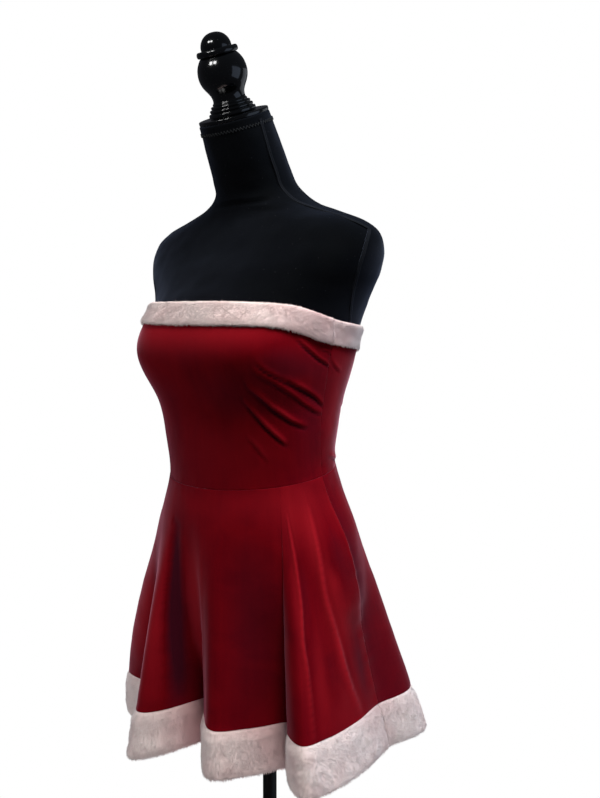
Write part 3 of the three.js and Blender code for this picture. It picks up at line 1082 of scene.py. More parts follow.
@dataclass
class Stand:
    """The turned parts: the foot, the pole, the flange, the neck cap and the finial."""

    lacquer: Material
    steel: Material
    neck_top: tuple[float, float, float] = (0.0, -67.0, 1481.0)
    neck_lean: float = 22.0
    cap_thick: float = 5.0
    pole_radius: float = 9.5
    form_bottom: float = 825.0
    flange_thick: float = 6.0
    flange_sleeve: float = 26.0

    def parts(self) -> list[TurnedPart]:
        """The steel parts, from the floor up."""
        top = self.form_bottom - SEAM_GAP
        pole = self.pole_radius
        bore = pole + SEAM_GAP
        plate = ((0.2, 0), (157.5, 0), (158.6, 0.2), (160, 2.2), (160, 5.6), (158.6, 7.7),
                 (157.4, 8), (0.2, 8))
        collar = ((bore, 8.3), (16.6, 8.3), (17, 8.7), (17, 46.5), (14.4, 50), (13.6, 50.3),
                  (bore, 50.3), (bore, 8.3))
        rod = ((0.2, 8.3), (pole, 8.3), (pole, top), (0.2, top))
        under = top - self.flange_thick
        low = under - self.flange_sleeve
        flange = ((bore, low), (15.2, low), (16, low + 0.8), (16, under - 2), (18, under),
                  (41.4, under), (42, under + 0.6), (42, top - 0.6), (41.4, top), (bore, top),
                  (bore, low))
        return [
            TurnedPart("foot_plate", plate, sides=128),
            TurnedPart("foot_collar", collar),
            TurnedPart("pole", rod, smooth=0, sides=48),
            TurnedPart("form_flange", flange),
        ]

    def crown(self) -> list[TurnedPart]:
        """The cap and the finial, which lean forwards with the neck."""
        seat = {"lean": self.neck_lean, "seat": self.neck_top}
        cap = ((0.2, 0.3), (44.6, 0.3), (45.3, 0.6), (45.5, 1.2), (45.5, 4.3), (45.1, 5.0),
               (44.2, 5.3), (0.2, 5.3))
        foot = ((0.2, 0), (29.6, 0), (30.4, 0.6), (30.5, 4.3), (29.8, 5.1), (28.2, 5.3),
                (27.4, 5.7), (27.6, 6.4), (28.2, 7.2), (28.2, 9.0), (27.5, 9.8), (26, 10),
                (25.1, 10.4), (25.3, 11), (25.8, 11.6), (25.7, 13.2), (25, 13.9), (23.4, 14.1),
                (22.4, 14.6), (22.7, 15.4), (22.6, 16.4), (21.6, 17.2))
        bulb = ((20.9, 18.4), (20.8, 22), (21.6, 26), (24, 30.6), (27, 35.2), (29.6, 40.2),
                (31.2, 45.6), (31.7, 51), (31.2, 57), (29.8, 62.4), (27.4, 67.4), (24.4, 71.6),
                (22.6, 73.2), (22.4, 73.6))
        bead = ((23.6, 73.0), (25.2, 73.3), (26.4, 74.9), (26.6, 77), (26.2, 79.2), (24.9, 80.8),
                (23.2, 81.1), (20.4, 80.6))
        dome = ((19.4, 80.8), (19.6, 82.4), (19.3, 86), (17.6, 91), (14, 95.8), (9, 99.2),
                (3.5, 100.6), (0.2, 100.7))
        return [
            TurnedPart("neck_cap", cap, sides=96, **seat),
            TurnedPart("finial", foot + bulb + bead + dome, smooth=2, sides=80,
                       lift=self.cap_thick + 2 * SEAM_GAP, **seat),
        ]

    def build(self) -> None:
        """Turns every part and gives it its finish."""
        for part in self.parts():
            part.build(self.steel, Slot.STEEL)
        for part in self.crown():
            part.build(self.lacquer, Slot.LACQUER)


# ---- The dress ----


@dataclass(frozen=True)
class SkirtShape:
    """The middle of the hanging skirt.

    Each row of folds is a crest, a valley or a slope, round from the wearer's right side seam by
    the front: its angle at the waist and at the hem, its radius at the hem, how far it bows out
    half-way down and how far its hem edge is lifted.
    """

    form: FormShape
    columns: tuple[str, ...] = ("waist", "hem", "radius", "bow", "lift")
    folds: tuple[tuple[float, ...], ...] = (
        (-90, -92, 170, 4, 3),  # right seam
        (-70, -69, 213, 13, 0),  # A crest
        (-50, -43, 160, 3, 5),  # A valley
        (-32, -19.5, 202, 0, -4),  # B crest
        (-11, -3, 110, 0, 14),  # B valley
        (1, 10, 158, 0, 8),  # C edge
        (13, 18.5, 188, 0, 1),  # C crest
        (30, 32, 164, 0, 0),  # C slope
        (51.5, 49.5, 152, 0, 3),  # C valley
        (53, 48, 192, 0, 0),  # D edge
        (57, 51.5, 227, 0, -3),  # D crest
        (64, 62, 211, 0, -3),  # D slope
        (75, 79, 188, 0, -2),  # E ridge
        (88.5, 103, 175, 0, 0),  # left seam
        (118, 128, 213, -1, 0),  # F crest
        (139, 152, 166, 2, 4),  # F valley
        (160, 171, 207, 2, 0),  # G crest
        (181, 190, 163, 3, 4),  # G valley
        (203, 208, 210, 1, 0),  # H crest
        (225, 228, 162, 3, 4),  # H valley
        (247, 247, 205, 4, 0),  # I crest
    )
    left_seam: int = 13  # its row of the table
    waist: float = 1028.0
    hem: float = 669.0
    red_share: float = 0.836  # share of the drop that is velvet
    hem_mean: float = 186.0
    fold_full: float = 0.5
    ease: float = 2.0  # from the form to the middle of the cloth at the waist
    hip_ease: float = 1.035
    hip_blend: float = 0.07
    hip_hold: tuple[float, float, float] = (0.25, 0.56, 0.85)

    def fold(self, name: str, place: Array) -> Array:
        """One column of the table at a place along it, on a smooth closed curve."""
        table = np.array(self.folds, dtype=float)
        count = len(table)
        rows = np.arange(-3, count + 4)
        turn = 360.0 if name in ("waist", "hem") else 0.0
        values = table[rows % count, self.columns.index(name)] + (rows // count) * turn
        return through(rows.astype(float), values, place)

    def point(self, place: Array, rise: Array) -> Array:
        """Points of the middle of the cloth.

        Formula: a straight drop from the waist ring to the folded hem ring, bowed by a sine. Folds
        grow with a smooth step of the drop. Where the cloth comes nearer to the axis than the
        hip's outline, it is moved out to it with a soft maximum, which lets go near the hem.

        Args:
            place: Along the table of folds.
            rise: 0 at the lower edge of the plush and 1 at the waist seam.

        Returns:
            A point for each place.
        """
        place, rise = np.broadcast_arrays(np.asarray(place, float), np.asarray(rise, float))
        drop = 1 - rise
        top = self.form.off(wrap(self.fold("waist", place)), np.full(place.shape, self.waist),
                            np.full(place.shape, self.ease))
        folded = ramp(0, self.fold_full, drop)
        bow = 2 * self.fold("bow", place) * np.sin(math.pi * drop)
        radius = mix(self.hem_mean, self.fold("radius", place), folded) + bow
        angle = np.radians(self.fold("hem", place))
        x = mix(top[..., 0], radius * np.sin(angle), drop)
        y = mix(top[..., 1], -radius * np.cos(angle), drop)
        z = mix(top[..., 2], self.hem + self.fold("lift", place), drop)
        height = np.maximum(z, self.form.rings[0][0])
        centre = self.form.size("y", height)
        depth = np.where(y < centre, self.form.size("front", height),
                         self.form.size("back", height))
        reach = np.hypot(x / self.form.size("half", height), (y - centre) / depth)
        full, start, gone = self.hip_hold
        held = ramp(0, full, drop) - ramp(start, gone, drop)
        kept = mix(reach, soft_max(reach, self.hip_ease, self.hip_blend), held) / reach
        return np.stack([x * kept, centre + (y - centre) * kept, z], axis=-1)

    def off(self, place: Array, rise: Array, distance: Array) -> Array:
        """Points at a level distance out from the middle of the cloth."""
        out = normals(self.point, place, rise, level=True)
        return self.point(place, rise) + out * distance[..., None]

    def seams(self, half: Half) -> tuple[int, int]:
        """The places of a half's two side seams."""
        return half.pick((0, self.left_seam), (self.left_seam, len(self.folds)))

    @property
    def drop(self) -> float:
        """How far the hem hangs below the waist."""
        return self.waist - self.hem


@dataclass(kw_only=True)
class VelvetPanels:
    """What the bodice and the skirt share: two panels of cloth, rolled in at their edges."""

    velvet: Material
    wall: float = 2.0
    edge: float = 1.6  # how thick the cloth still is at a seam
    roll: float = 0.5
    fade: tuple[float, float]

    def panel(self, half: Half) -> Piece:
        """One panel."""
        raise NotImplementedError

    def edged(self, lift: Array, seamed: Array, above: Array, below: Array) -> tuple[Array, Array]:
        """What the edges of a panel do to it: each takes a quarter circle of the distance.

        Args:
            lift: The relief of the cloth.
            seamed: How far each place is from the nearer side seam.
            above: How far it is above the lower edge.
            below: How far it is below the upper edge.

        Returns:
            The relief, faded towards the lower and upper edges, and how full the cloth is.
        """
        low, high = self.fade
        lift = lift * edge_roll(above, low) * edge_roll(below, high)
        return lift, edge_roll(seamed, self.roll) * edge_roll(np.minimum(above, below), self.roll)

    def build(self) -> None:
        """Makes both panels."""
        for half in Half:
            self.panel(half)


@dataclass(kw_only=True)
class Bodice(VelvetPanels):
    """The two fitted panels of the bodice."""

    form: FormShape
    low: float = 1028.05
    high: float = 1222.0
    ease: float = 0.5
    step: float = 2.3
    wear_and_painted_light: float = 0.32  # painted light: each millimetre of a ridge is painted this much lighter, of a trough deeper
    seam_trim: float = 0.03  # degrees that each panel keeps off the side seam
    degree: float = 2.4  # millimetres round the form for one degree
    deepest: float = -2.1  # how far a crease may sink the cloth
    slack: tuple[Waves, ...] = (Waves(55, 11, 0.2), Waves(17, 12, 0.06))
    waist_pucker: Pucker = Pucker(Waves(19, 13, 0.3), (1, 1, 0.1), 8)
    seam_pucker: Pucker = Pucker(Waves(14, 14, 0.2), (0.1, 0.1, 1), 6)
    fade: tuple[float, float] = (5, 30)  # how soon the relief fades, below and above
    flats: tuple[tuple[float, float], ...] = ((0.44, 0.21), (0.38, 0.21))  # front and back
    front_creases: tuple[Crease, ...] = (
        Crease(((62.5, 1188.5), (66.5, 1182.5), (70.5, 1177.5), (75.2, 1172), (80.2, 1168),
                (83.8, 1164.5)), 1.5, 2.2, 2.2, 1.2),
        Crease(((75.5, 1183.5), (79.8, 1181), (85.5, 1178.5)), 0.9, 1.2, 1.6, 1.2),
        Crease(((45.2, 1159.5), (49.5, 1153.5), (54.5, 1149), (59, 1143.5)), 1.6, 1.5, 2.0, 1.2),
        Crease(((58, 1147), (63.2, 1142.5), (67.2, 1139), (71.8, 1134.5), (77.2, 1128),
                (83, 1119)), 1.9, 2.8, 2.6, 1.3),
        Crease(((43, 1152.5), (47.2, 1149), (52.8, 1143.5), (57.5, 1138), (62.5, 1131.5),
                (68.5, 1122.5), (76.2, 1114), (81.8, 1110)), 2.1, 1.6, 2.6, 1.3),
        Crease(((38.6, 1139.5), (43.8, 1130.5), (49, 1120.5), (54.5, 1113), (60.8, 1105),
                (70, 1097)), 3.0, 3.0, 3.2, 1.2),
        Crease(((34, 1126), (38.5, 1115), (43.2, 1104.5), (48.2, 1095), (53, 1086.5),
                (57, 1079.5)), 2.6, 2.8, 3.0, 1.2),
        Crease(((33.8, 1089.5), (38.8, 1078), (45, 1063.5)), 0.8, 0.9, 3.0, 1.6),
        Crease(((-66, 1184), (-72, 1174), (-79, 1163)), 1.5, 2.0, 2.4, 1.3),
        Crease(((-62, 1148), (-67, 1139), (-74, 1128), (-81, 1115)), 1.7, 1.6, 2.9, 1.4),
        Crease(((-60, 1121), (-66, 1108), (-76, 1094)), 1.7, 1.6, 3.2, 1.3),
        Crease(((-64, 1092), (-71, 1080), (-78, 1070)), 1.2, 1.1, 3.0, 1.3),
    )
    back_creases: tuple[Crease, ...] = (
        Crease(((84, 1173), (88, 1166), (94, 1160.5)), 0.9, 0.9, 2.0),
        Crease(((112, 1118), (126, 1112), (143, 1104)), 0.7, 0.5, 4.6),
        Crease(((100, 1050), (110, 1043), (122, 1037), (133, 1036)), 1.5, 0.8, 3.0),
        Crease(((150, 1062), (168, 1056), (186, 1059), (203, 1052)), 1.8, 1.2, 4.8),
        Crease(((148, 1084), (166, 1077), (188, 1074), (204, 1079)), 1.3, 0.9, 4.2),
        Crease(((160, 1100), (178, 1095), (196, 1098)), 0.9, 0.6, 4.6),
        Crease(((216, 1096), (231, 1102), (247, 1108)), 0.8, 0.5, 4.6),
        Crease(((228, 1037), (240, 1039), (252, 1045)), 1.3, 0.8, 3.4),
        Crease(((266, 1160.5), (272, 1167), (276, 1174)), 0.9, 0.9, 2.0),
    )

    # Painted light and shade: patches painted lighter where light falls on the bodice and deeper
    # where it is shaded.
    # Places are angles, and heights are the rows of the dress.
    painted_patches: tuple[PaintedPatch, ...] = tuple(PaintedPatch(*row) for row in (
        (-8, 1188, 110, 18, 0.6), (30, 1180, 40, 14, 0.2), (60, 1158, 34, 15, -0.4),
        (26, 1128, 44, 18, -0.4), (69, 1144, 12, 5, 0.4), (75, 1100, 20, 42, -0.35),
        (-22, 1095, 24, 45, -0.15), (58, 1166, 18, 14, -0.15), (95, 1120, 14, 40, 0.35),
        (10, 1085, 60, 40, 0.2), (186, 1150, 90, 30, 0.2), (200, 1070, 90, 26, -0.2),
    ))

    def panel(self, half: Half) -> Piece:
        """One panel from side seam to side seam, with its edges rolled in at the seams.

        Formula: the form's surface moved out by the ease, the creases, a soft pucker at the
        waist and, for the outer skin, the wall's thickness times the quarter circle of its edges.

        Args:
            half: Which panel.

        Returns:
            The piece.
        """
        width = 180 * self.degree
        along, row = np.meshgrid(
            edge_stations(width, self.step, self.roll),
            mix(self.low, self.high, edge_stations(self.high - self.low, self.step, self.roll)))
        angle = self.form.span(half, row, along, self.seam_trim)
        wrapped = wrap(angle)
        height = self.form.lifted(wrapped, row)
        above, below = row - self.low, self.high - row
        seamed = np.minimum(along, 1 - along) * width
        base = self.form.point(wrapped, height)
        creases = half.pick(self.front_creases, self.back_creases)
        creased = worked([c.lift for c in creases], angle, height, self.degree)
        # painted light and shade: the painted patches, with ridges painted lighter and troughs
        # deeper
        pile = worked([k.pile for k in self.painted_patches], angle, row, self.degree)
        lift = np.maximum(creased, self.deepest)
        for waves in self.slack:
            lift = lift + waves.at(base)
        lift = lift + self.waist_pucker.at(base, above) + self.seam_pucker.at(base, seamed)
        lift, full = self.edged(lift, seamed, above, below)
        piece = slab(
            f"velvet_bodice_{half.value}",
            self.form.off(wrapped, height, self.ease + lift + mix(self.edge, self.wall, full)),
            self.form.off(wrapped, height, self.ease + lift),
            (along * width, above), pile + creased * self.wear_and_painted_light)
        return dress_piece(piece, self.velvet, Slot.RED_VELVET, f"bodice_{half.value}")


@dataclass(kw_only=True)
class Skirt(VelvetPanels):
    """The two flared panels of the skirt."""

    shape: SkirtShape
    step: float = 3.4
    seam_trim: float = 0.002  # of a fold's row
    waist_gap: float = 0.05  # the seam draws the panels together
    wear_and_painted_light: float = 0.3  # painted light: each millimetre of a ridge is painted this much lighter, of a trough deeper
    row_width: float = 36.0  # millimetres along the skirt for one row of the fold table
    waist_pucker: Pucker = Pucker(Waves(19, 13, 0.3), (1, 1, 0.1), 10)
    seam_pucker: Pucker = Pucker(Waves(16, 14, 0.3), (0.1, 0.1, 1), 9)
    slack: Waves = Waves(22, 22, 0.12)
    sway: Waves = Waves(80, 21, 0.9)
    sway_full: float = 150.0  # how far below the waist the sway is full
    fade: tuple[float, float] = (14, 4)
    widths: tuple[float, float] = (520.0, 430.0)  # front and back, as the flats and areas
    flats: tuple[tuple[float, float], ...] = ((0.80, 0.38), (0.76, 0.38))
    areas: tuple[float, float] = (0.195, 0.18)

    # Soft ridges on the folds, as (place, height above the hem) paths.
    ridges: tuple[Crease, ...] = (
        Crease(((1.5, 80), (1.55, 160), (1.6, 240)), 1.6, 1.4, 10.0),
        Crease(((3.28, 60), (3.26, 110), (3.2, 160), (3.18, 210), (3.24, 300)), 2.2, 3.2, 7.0),
        Crease(((10.45, 50), (10.43, 131), (10.31, 177), (10.4, 222), (10.3, 269), (9.9, 320)),
               2.2, 0.8, 5.0, 1.0),
        Crease(((12.3, 60), (12.0, 113), (11.82, 165), (11.56, 217), (11.54, 265), (11.6, 325)),
               2.3, 0.8, 5.0, 1.0),
        Crease(((12.86, 70), (12.84, 150), (12.8, 230), (12.84, 300)), 0.5, 0.3, 7.0, 1.0),
        Crease(((12.93, 200), (12.93, 280), (12.93, 352)), 1.0, 0.2, 2.6, 1.0),
        Crease(((14.0, 70), (13.95, 160), (13.9, 250), (13.9, 310)), 0.9, 0.7, 14.0),
        Crease(((16.1, 60), (16.0, 150), (16.1, 240)), 1.8, 1.8, 9.0),
        Crease(((18.3, 70), (18.2, 160), (18.25, 260)), 2.0, 1.6, 10.0),
        Crease(((20.2, 60), (20.1, 150), (20.15, 250)), 1.6, 1.6, 9.0),
    )

    # Painted shade: how much deeper the front and the back panel are painted; the back is painted
    # deeper.
    nap: tuple[float, float] = (0.0, -0.32)

    # Painted light and shade: patches painted lighter where light falls on the skirt and deeper
    # where it is shaded.
    # Places are rows of the fold table, and heights are above the hem.
    painted_patches: tuple[PaintedPatch, ...] = tuple(PaintedPatch(*row) for row in (
        (10.8, 325, 75, 36, 0.4), (7.2, 340, 110, 16, 0.25), (7.1, 190, 16, 75, -0.4),
        (8.6, 130, 14, 60, -0.45), (11.6, 90, 24, 50, 0.25), (10.25, 205, 7, 75, 0.4),
        (4.4, 225, 16, 45, 0.6), (3.5, 215, 6, 70, -0.8), (3.9, 100, 24, 36, -0.16),
        (4.3, 150, 12, 32, 0.35), (12.4, 275, 11, 40, -0.4), (12.15, 200, 10, 30, 0.3),
        (12.62, 118, 5, 34, -0.7), (11.47, 292, 6, 26, 0.4), (11.7, 250, 6, 17, 0.4),
        (12.0, 233, 6, 13, 0.35), (11.75, 204, 7, 16, 0.35), (12.1, 186, 7, 14, 0.25),
        (11.9, 150, 5, 18, 0.3), (11.0, 135, 6, 36, 0.35), (11.45, 122, 8, 28, -0.3),
        (10.75, 235, 6, 40, -0.2), (13.1, 230, 9, 60, -0.45), (2.3, 190, 26, 70, 0.2),
        (17.2, 300, 90, 40, 0.35), (19.4, 140, 40, 80, -0.3),
    ))

    def panel(self, half: Half) -> Piece:
        """One panel, hung in its folds, with its edges rolled in at the seams and the hem.

        Formula: the middle of the cloth moved half a wall out or in, plus a pucker that dies
        away below the waist seam and slow waves that grow downwards.

        Args:
            half: Which panel.

        Returns:
            The piece.
        """
        start, end = self.shape.seams(half)
        drop, width = self.shape.drop, half.pick(*self.widths)
        along = edge_stations(width, self.step * 0.55, self.roll)
        low = 1 - self.shape.red_share
        high = 1 - self.waist_gap / drop
        up = edge_stations((high - low) * drop, self.step, self.roll)
        place, rise = np.meshgrid(
            mix(start + self.seam_trim, end - self.seam_trim, along), mix(low, high, up))
        above, below = (rise - low) * drop, (high - rise) * drop
        seamed = np.minimum(along, 1 - along) * width
        base = self.shape.point(place, rise)
        creased = worked([c.lift for c in self.ridges], place, rise * drop, self.row_width)
        # painted light and shade: the painted patches, ridges painted lighter, troughs deeper, and
        # the back's painted shade
        pile = worked([k.pile for k in self.painted_patches], place, rise * drop, self.row_width)
        lift = self.waist_pucker.at(base, below)
        lift = lift + self.sway.at(base * (1, 1, 0.3)) * ramp(0, self.sway_full, below)
        lift = lift + self.slack.at(base) + creased + self.seam_pucker.at(base, seamed)
        lift, full = self.edged(lift, seamed, above, below)
        half_wall = self.wall / 2
        piece = slab(
            f"velvet_skirt_{half.value}",
            self.shape.off(place, rise, lift + mix(self.edge - half_wall, half_wall, full)),
            self.shape.off(place, rise, np.maximum(lift, 0) - half_wall),
            (along * width, rise * drop),
            pile + creased * self.wear_and_painted_light + half.pick(*self.nap))
        return dress_piece(piece, self.velvet, Slot.RED_VELVET, f"skirt_{half.value}")


def fold_shade(points: Array) -> Array:
    """How much painted shade points take deep in the skirt's folds: a smooth step from 0 at a
    crest's distance from the axis to 0.8 at a valley's."""
    return 0.8 * (1 - ramp(125, 188, np.hypot(points[..., 0], points[..., 1])))


def armpit_shade(points: Array) -> Array:
    """Painted shade along the neckline: 0.1, and more near the armpit on a bell curve of angle."""
    angle = np.degrees(np.arctan2(np.abs(points[..., 0]), -points[..., 1]))
    return 0.1 + 0.36 * bell(angle - 62, 12)


@dataclass(frozen=True)
class PileCut:
    """How a plush's pile is cut and how it lies."""

    count: int
    length: float = 2.8
    width: float = 1.2
    sunk: float = 0.7
    lengths: tuple[float, float] = (0.65, 1.2)  # the shortest and the longest, as shares
    uneven: float = 0.16  # how much the length swells from place to place
    lie: float = 0.8  # how much its lean keeps to the surface
    fall: float = 1.1  # how much it lies down the cloth
    stray: float = 0.08  # how much each fibre leans its own way
    tuft: float = 0.15  # how much neighbours lean together
    tuft_size: float = 14.0
    together: float = 0.97  # how much it is shaded as one surface
    short: float = 0.5  # how long it still is on the top edge, where it is sewn down
    inner_share: float = 0.3  # how much thinner the pile is on the hidden side
    bare: float = 0.0  # share of the band's height at its top that has no pile


@dataclass
class PlushBand:
    """A band of plush round an edge of the dress: a soft backing and the pile that grows on it.

    off gives points at a distance off the cloth that the band follows, from places along and up
    it. The band's section is a rounded bar between its low and high places and between its near
    and far distances.
    """

    name: str
    node: str
    off: Callable[[Array, Array, Array], Array]
    along: tuple[float, float]
    up: tuple[float, float]
    out: tuple[float, float]
    size: tuple[float, float]
    plush: Material
    pile: PileCut
    rests_on: str
    held: str
    seed: int
    step: float = 3.0
    stations: int = 44  # points round its section
    flatness: float = 0.42  # 1 is an ellipse, smaller is a squarer bar
    pinch: float = 5.0  # how far from a side seam the band draws in
    swell: tuple[float, float] = (0.6, 0.2)  # the soft lumps of its filling, long and short
    taper: float = 1.0  # how thick the band still is at its upper edge
    folded: Callable[[Array], Array] = fold_shade  # how much painted fold shade a point takes

    def backing_grid(self) -> Array:
        """The backing's points: rows round its section, columns along the band.

        Formula: round the section, height follows the sine and distance the cosine, each to a
        power below one, which makes a rounded bar. The bar swells by soft waves and draws in
        towards both side seams.
        """
        turn = circle(self.stations)[::-1]
        stations = edge_stations(self.size[0] / MM, self.step, self.pinch)
        place, angle = np.meshgrid(mix(*self.along, stations), turn)
        share = 0.5 - 0.5 * power(np.sin(angle), self.flatness)
        away = 0.5 + 0.5 * power(np.cos(angle), 0.8)
        seamed = np.minimum(stations, 1 - stations) * self.size[0] / MM
        full = mix(0.3, 1.0, edge_roll(seamed, self.pinch))
        full = full * mix(1.0, self.taper, ramp(0.75, 1.0, share))
        level = mix(*self.up, share)
        rough = self.off(place, level, np.zeros(place.shape))
        swell = self.swell[0] * Waves(34, seed=self.seed).at(rough)
        swell = swell + self.swell[1] * Waves(13, seed=self.seed + 1).at(rough)
        distance = mix(*self.out, mix(0.5, away, full)) + swell * away * full
        return self.off(place, level, distance)

    def backing(self, grid: Array) -> Piece:
        """The closed backing, which is shaded as the roots of the pile are."""
        bare = {"tip": lambda points: np.zeros(len(points)),
                "fibre": lambda points: np.zeros(len(points))}
        # the backing takes the painted fold shade too
        return closed_skin(self.name, np.swapaxes(grid, 0, 1)[:, ::-1], **bare,
                           folded=self.folded)

    def roots(self, grid: Array, rng: np.random.Generator) -> tuple[Array, Array]:
        """Places and directions of the fibres' roots, spread evenly over the backing.

        Formula: cells of the grid are drawn in proportion to their area, less on the hidden
        side and none on the bare edge, and each root lies at random within its cell.

        Args:
            grid: The backing's points.
            rng: The random numbers.

        Returns:
            The roots and the outward normals there.
        """
        out = ring_normals(grid)
        closed, out = (np.concatenate([rows, rows[:1]]) for rows in (grid, out))
        a, b = closed[:-1, :-1], closed[:-1, 1:]
        c, d = closed[1:, 1:], closed[1:, :-1]
        area = np.linalg.norm(np.cross(c - a, d - b), axis=-1) / 2
        turn = (np.arange(self.stations) + 1.5) / self.stations * 2 * math.pi
        shown = mix(self.pile.inner_share, 1.0, ramp(-0.4, 0.3, np.cos(turn)))
        share = 0.5 + 0.5 * power(np.sin(turn), self.flatness)
        area = area * (shown * (share < 1 - self.pile.bare))[:, None]
        total = np.cumsum(area.ravel())
        count = self.pile.count
        draw = (np.arange(count) + rng.random(count)) / count
        cell = np.minimum(np.searchsorted(total, draw * total[-1]), total.size - 1)
        row, column = np.divmod(cell, area.shape[1])
        s, t = rng.random((2, count, 1))

        def between(values: Array) -> Array:
            """Values of the grid's points, mixed at each root's place in its cell."""
            low = mix(values[row, column], values[row, column + 1], s)
            high = mix(values[row + 1, column], values[row + 1, column + 1], s)
            return mix(low, high, t)

        return between(closed), unit(between(out))

    def fibres(self, grid: Array) -> Piece:
        """The pile: one thin closed spike for each tuft of fibres.

        Formula: a spike stands on three points round its root, a little under the backing. Its
        tip leans down the cloth, with its neighbours and a little its own way. It is shaded
        mostly with the backing's normal, as hundreds of finer fibres would look together, and
        on the top edge, where the pile falls over the front, with one that looks less upwards.

        Args:
            grid: The backing's points.

        Returns:
            The piece.
        """
        cut = self.pile
        rng = np.random.default_rng(self.seed)
        root, out = self.roots(grid, rng)
        leans = [Waves(cut.tuft_size, self.seed + 5 + k).at(root) for k in range(3)]
        lean = np.array([0, 0, -cut.fall]) + np.stack(leans, axis=-1) * cut.tuft
        lean = lean + rng.normal(size=root.shape) * cut.stray
        way = unit(out + lean - out * (lean * out).sum(axis=1)[:, None] * cut.lie)
        length = cut.length * rng.uniform(*cut.lengths, len(root))
        length = length * (1 + Waves(16, self.seed + 9, cut.uneven).at(root))
        length = length * mix(1.0, cut.short, ramp(0.3, 0.9, out[:, 2]))
        side = unit(np.cross(way, rng.normal(size=root.shape)))
        other = np.cross(way, side)
        base = root - out * cut.sunk
        corners = [base + (side * math.cos(k) + other * math.sin(k)) * cut.width / 2
                   for k in circle(3)]
        tip = base + way * (length + cut.sunk)[:, None]
        points = np.stack([*corners, tip], axis=1).reshape(-1, 3)
        first = np.arange(len(root))[:, None] * 4
        faces = np.concatenate([first + f for f in ((0, 1, 3), (1, 2, 3), (2, 0, 3), (2, 1, 0))])
        along = np.tile([0.0, 0.0, 0.0, 1.0], len(root))
        shade = np.repeat(rng.random(len(root)), 4)
        round_it = np.stack([*(c - base for c in corners), way * cut.width / 2], axis=1)
        front = out * (1, 1, 0)
        front[:, 2] = np.minimum(out[:, 2], 0.3)
        lay = mix(round_it / (cut.width / 2), front[:, None], cut.together).reshape(-1, 3)
        # how much painted fold shade each fibre takes
        folded = np.repeat(self.folded(root), 4)
        return make_piece(f"pile_{self.name}", points, [faces], lay=unit(lay),
                          floats={"tip": along, "fibre": shade, "folded": folded})

    def build(self) -> None:
        """Makes the backing and its pile."""
        grid = self.backing_grid()
        backing = self.backing(grid)
        pile = self.fibres(grid)
        dress_piece(backing, self.plush, Slot.WHITE_PLUSH, self.node)
        dress_piece(pile, self.plush, Slot.WHITE_PLUSH)


@dataclass
class PlushTrims:
    """The four plush bands: neckline and hem, front and back."""

    form: FormShape
    skirt: SkirtShape
    plush: Material
    neck: tuple[float, float] = (1193.0, 1222.0)
    neck_base: float = 2.8  # the bodice's outer face and a seam gap
    neck_reach: tuple[float, float] = (4.2, 2.1)  # front and back, as every pair below
    neck_sizes: tuple[tuple[float, float], ...] = ((0.47, 0.033), (0.41, 0.033))
    neck_cuts: tuple[PileCut, PileCut] = (
        PileCut(15500, length=3.0, inner_share=0.0), PileCut(12500, length=2.4, inner_share=0.0))
    hem_half: float = 3.0
    hem_tuck: float = 1.2  # how far the plush reaches up into the velvet's sewn edge
    hem_sizes: tuple[tuple[float, float], ...] = ((0.92, 0.059), (0.80, 0.059))
    hem_cuts: tuple[PileCut, PileCut] = (PileCut(44000, bare=0.035), PileCut(40000, bare=0.035))

    def neck_band(self, half: Half) -> PlushBand:
        """The neckline's band on one half."""

        def off_form(along: Array, row: Array, distance: Array) -> Array:
            """Points off the form, between the side seams and on the dress's rows."""
            angle = wrap(self.form.span(half, row, along, 0.1))
            return self.form.off(angle, self.form.lifted(angle, row), distance)

        return PlushBand(
            name=f"plush_neck_{half.value}", node=f"neck_plush_{half.value}", off=off_form,
            along=(0.0, 1.0), up=self.neck,
            out=(self.neck_base, self.neck_base + half.pick(*self.neck_reach)),
            size=half.pick(*self.neck_sizes), plush=self.plush, pile=half.pick(*self.neck_cuts),
            rests_on=f"velvet_bodice_{half.value}", held="stretched", seed=half.pick(40, 60),
            pinch=3.5, swell=(0.35, 0.12), folded=armpit_shade)

    def hem_band(self, half: Half) -> PlushBand:
        """The hem's band on one half."""
        start, end = self.skirt.seams(half)
        top = 1 - self.skirt.red_share + self.hem_tuck / self.skirt.drop
        return PlushBand(
            name=f"plush_hem_{half.value}", node=f"hem_plush_{half.value}", off=self.skirt.off,
            along=(start + 0.006, end - 0.006), up=(0.0, top),
            out=(-self.hem_half, self.hem_half), size=half.pick(*self.hem_sizes),
            plush=self.plush, pile=half.pick(*self.hem_cuts),
            rests_on=f"velvet_skirt_{half.value}", held="hung", seed=half.pick(80, 100),
            taper=0.15)

    def build(self) -> None:
        """Makes every band."""
        for band in (self.neck_band, self.hem_band):
            for half in Half:
                band(half).build()


# ---- The studio ----


@dataclass(frozen=True)
class Softbox:
    """A soft square light: where it stands, how wide it is, its power and its colour.

    A mirrored light only shows in lacquer and paint, and the others only light the cloth, so
    that the lacquer shows few lights and small ones.
    """

    name: str
    towards_camera: float
    to_the_right: float
    height: float
    side: float
    power: float
    colour: str
    mirrored: bool = False


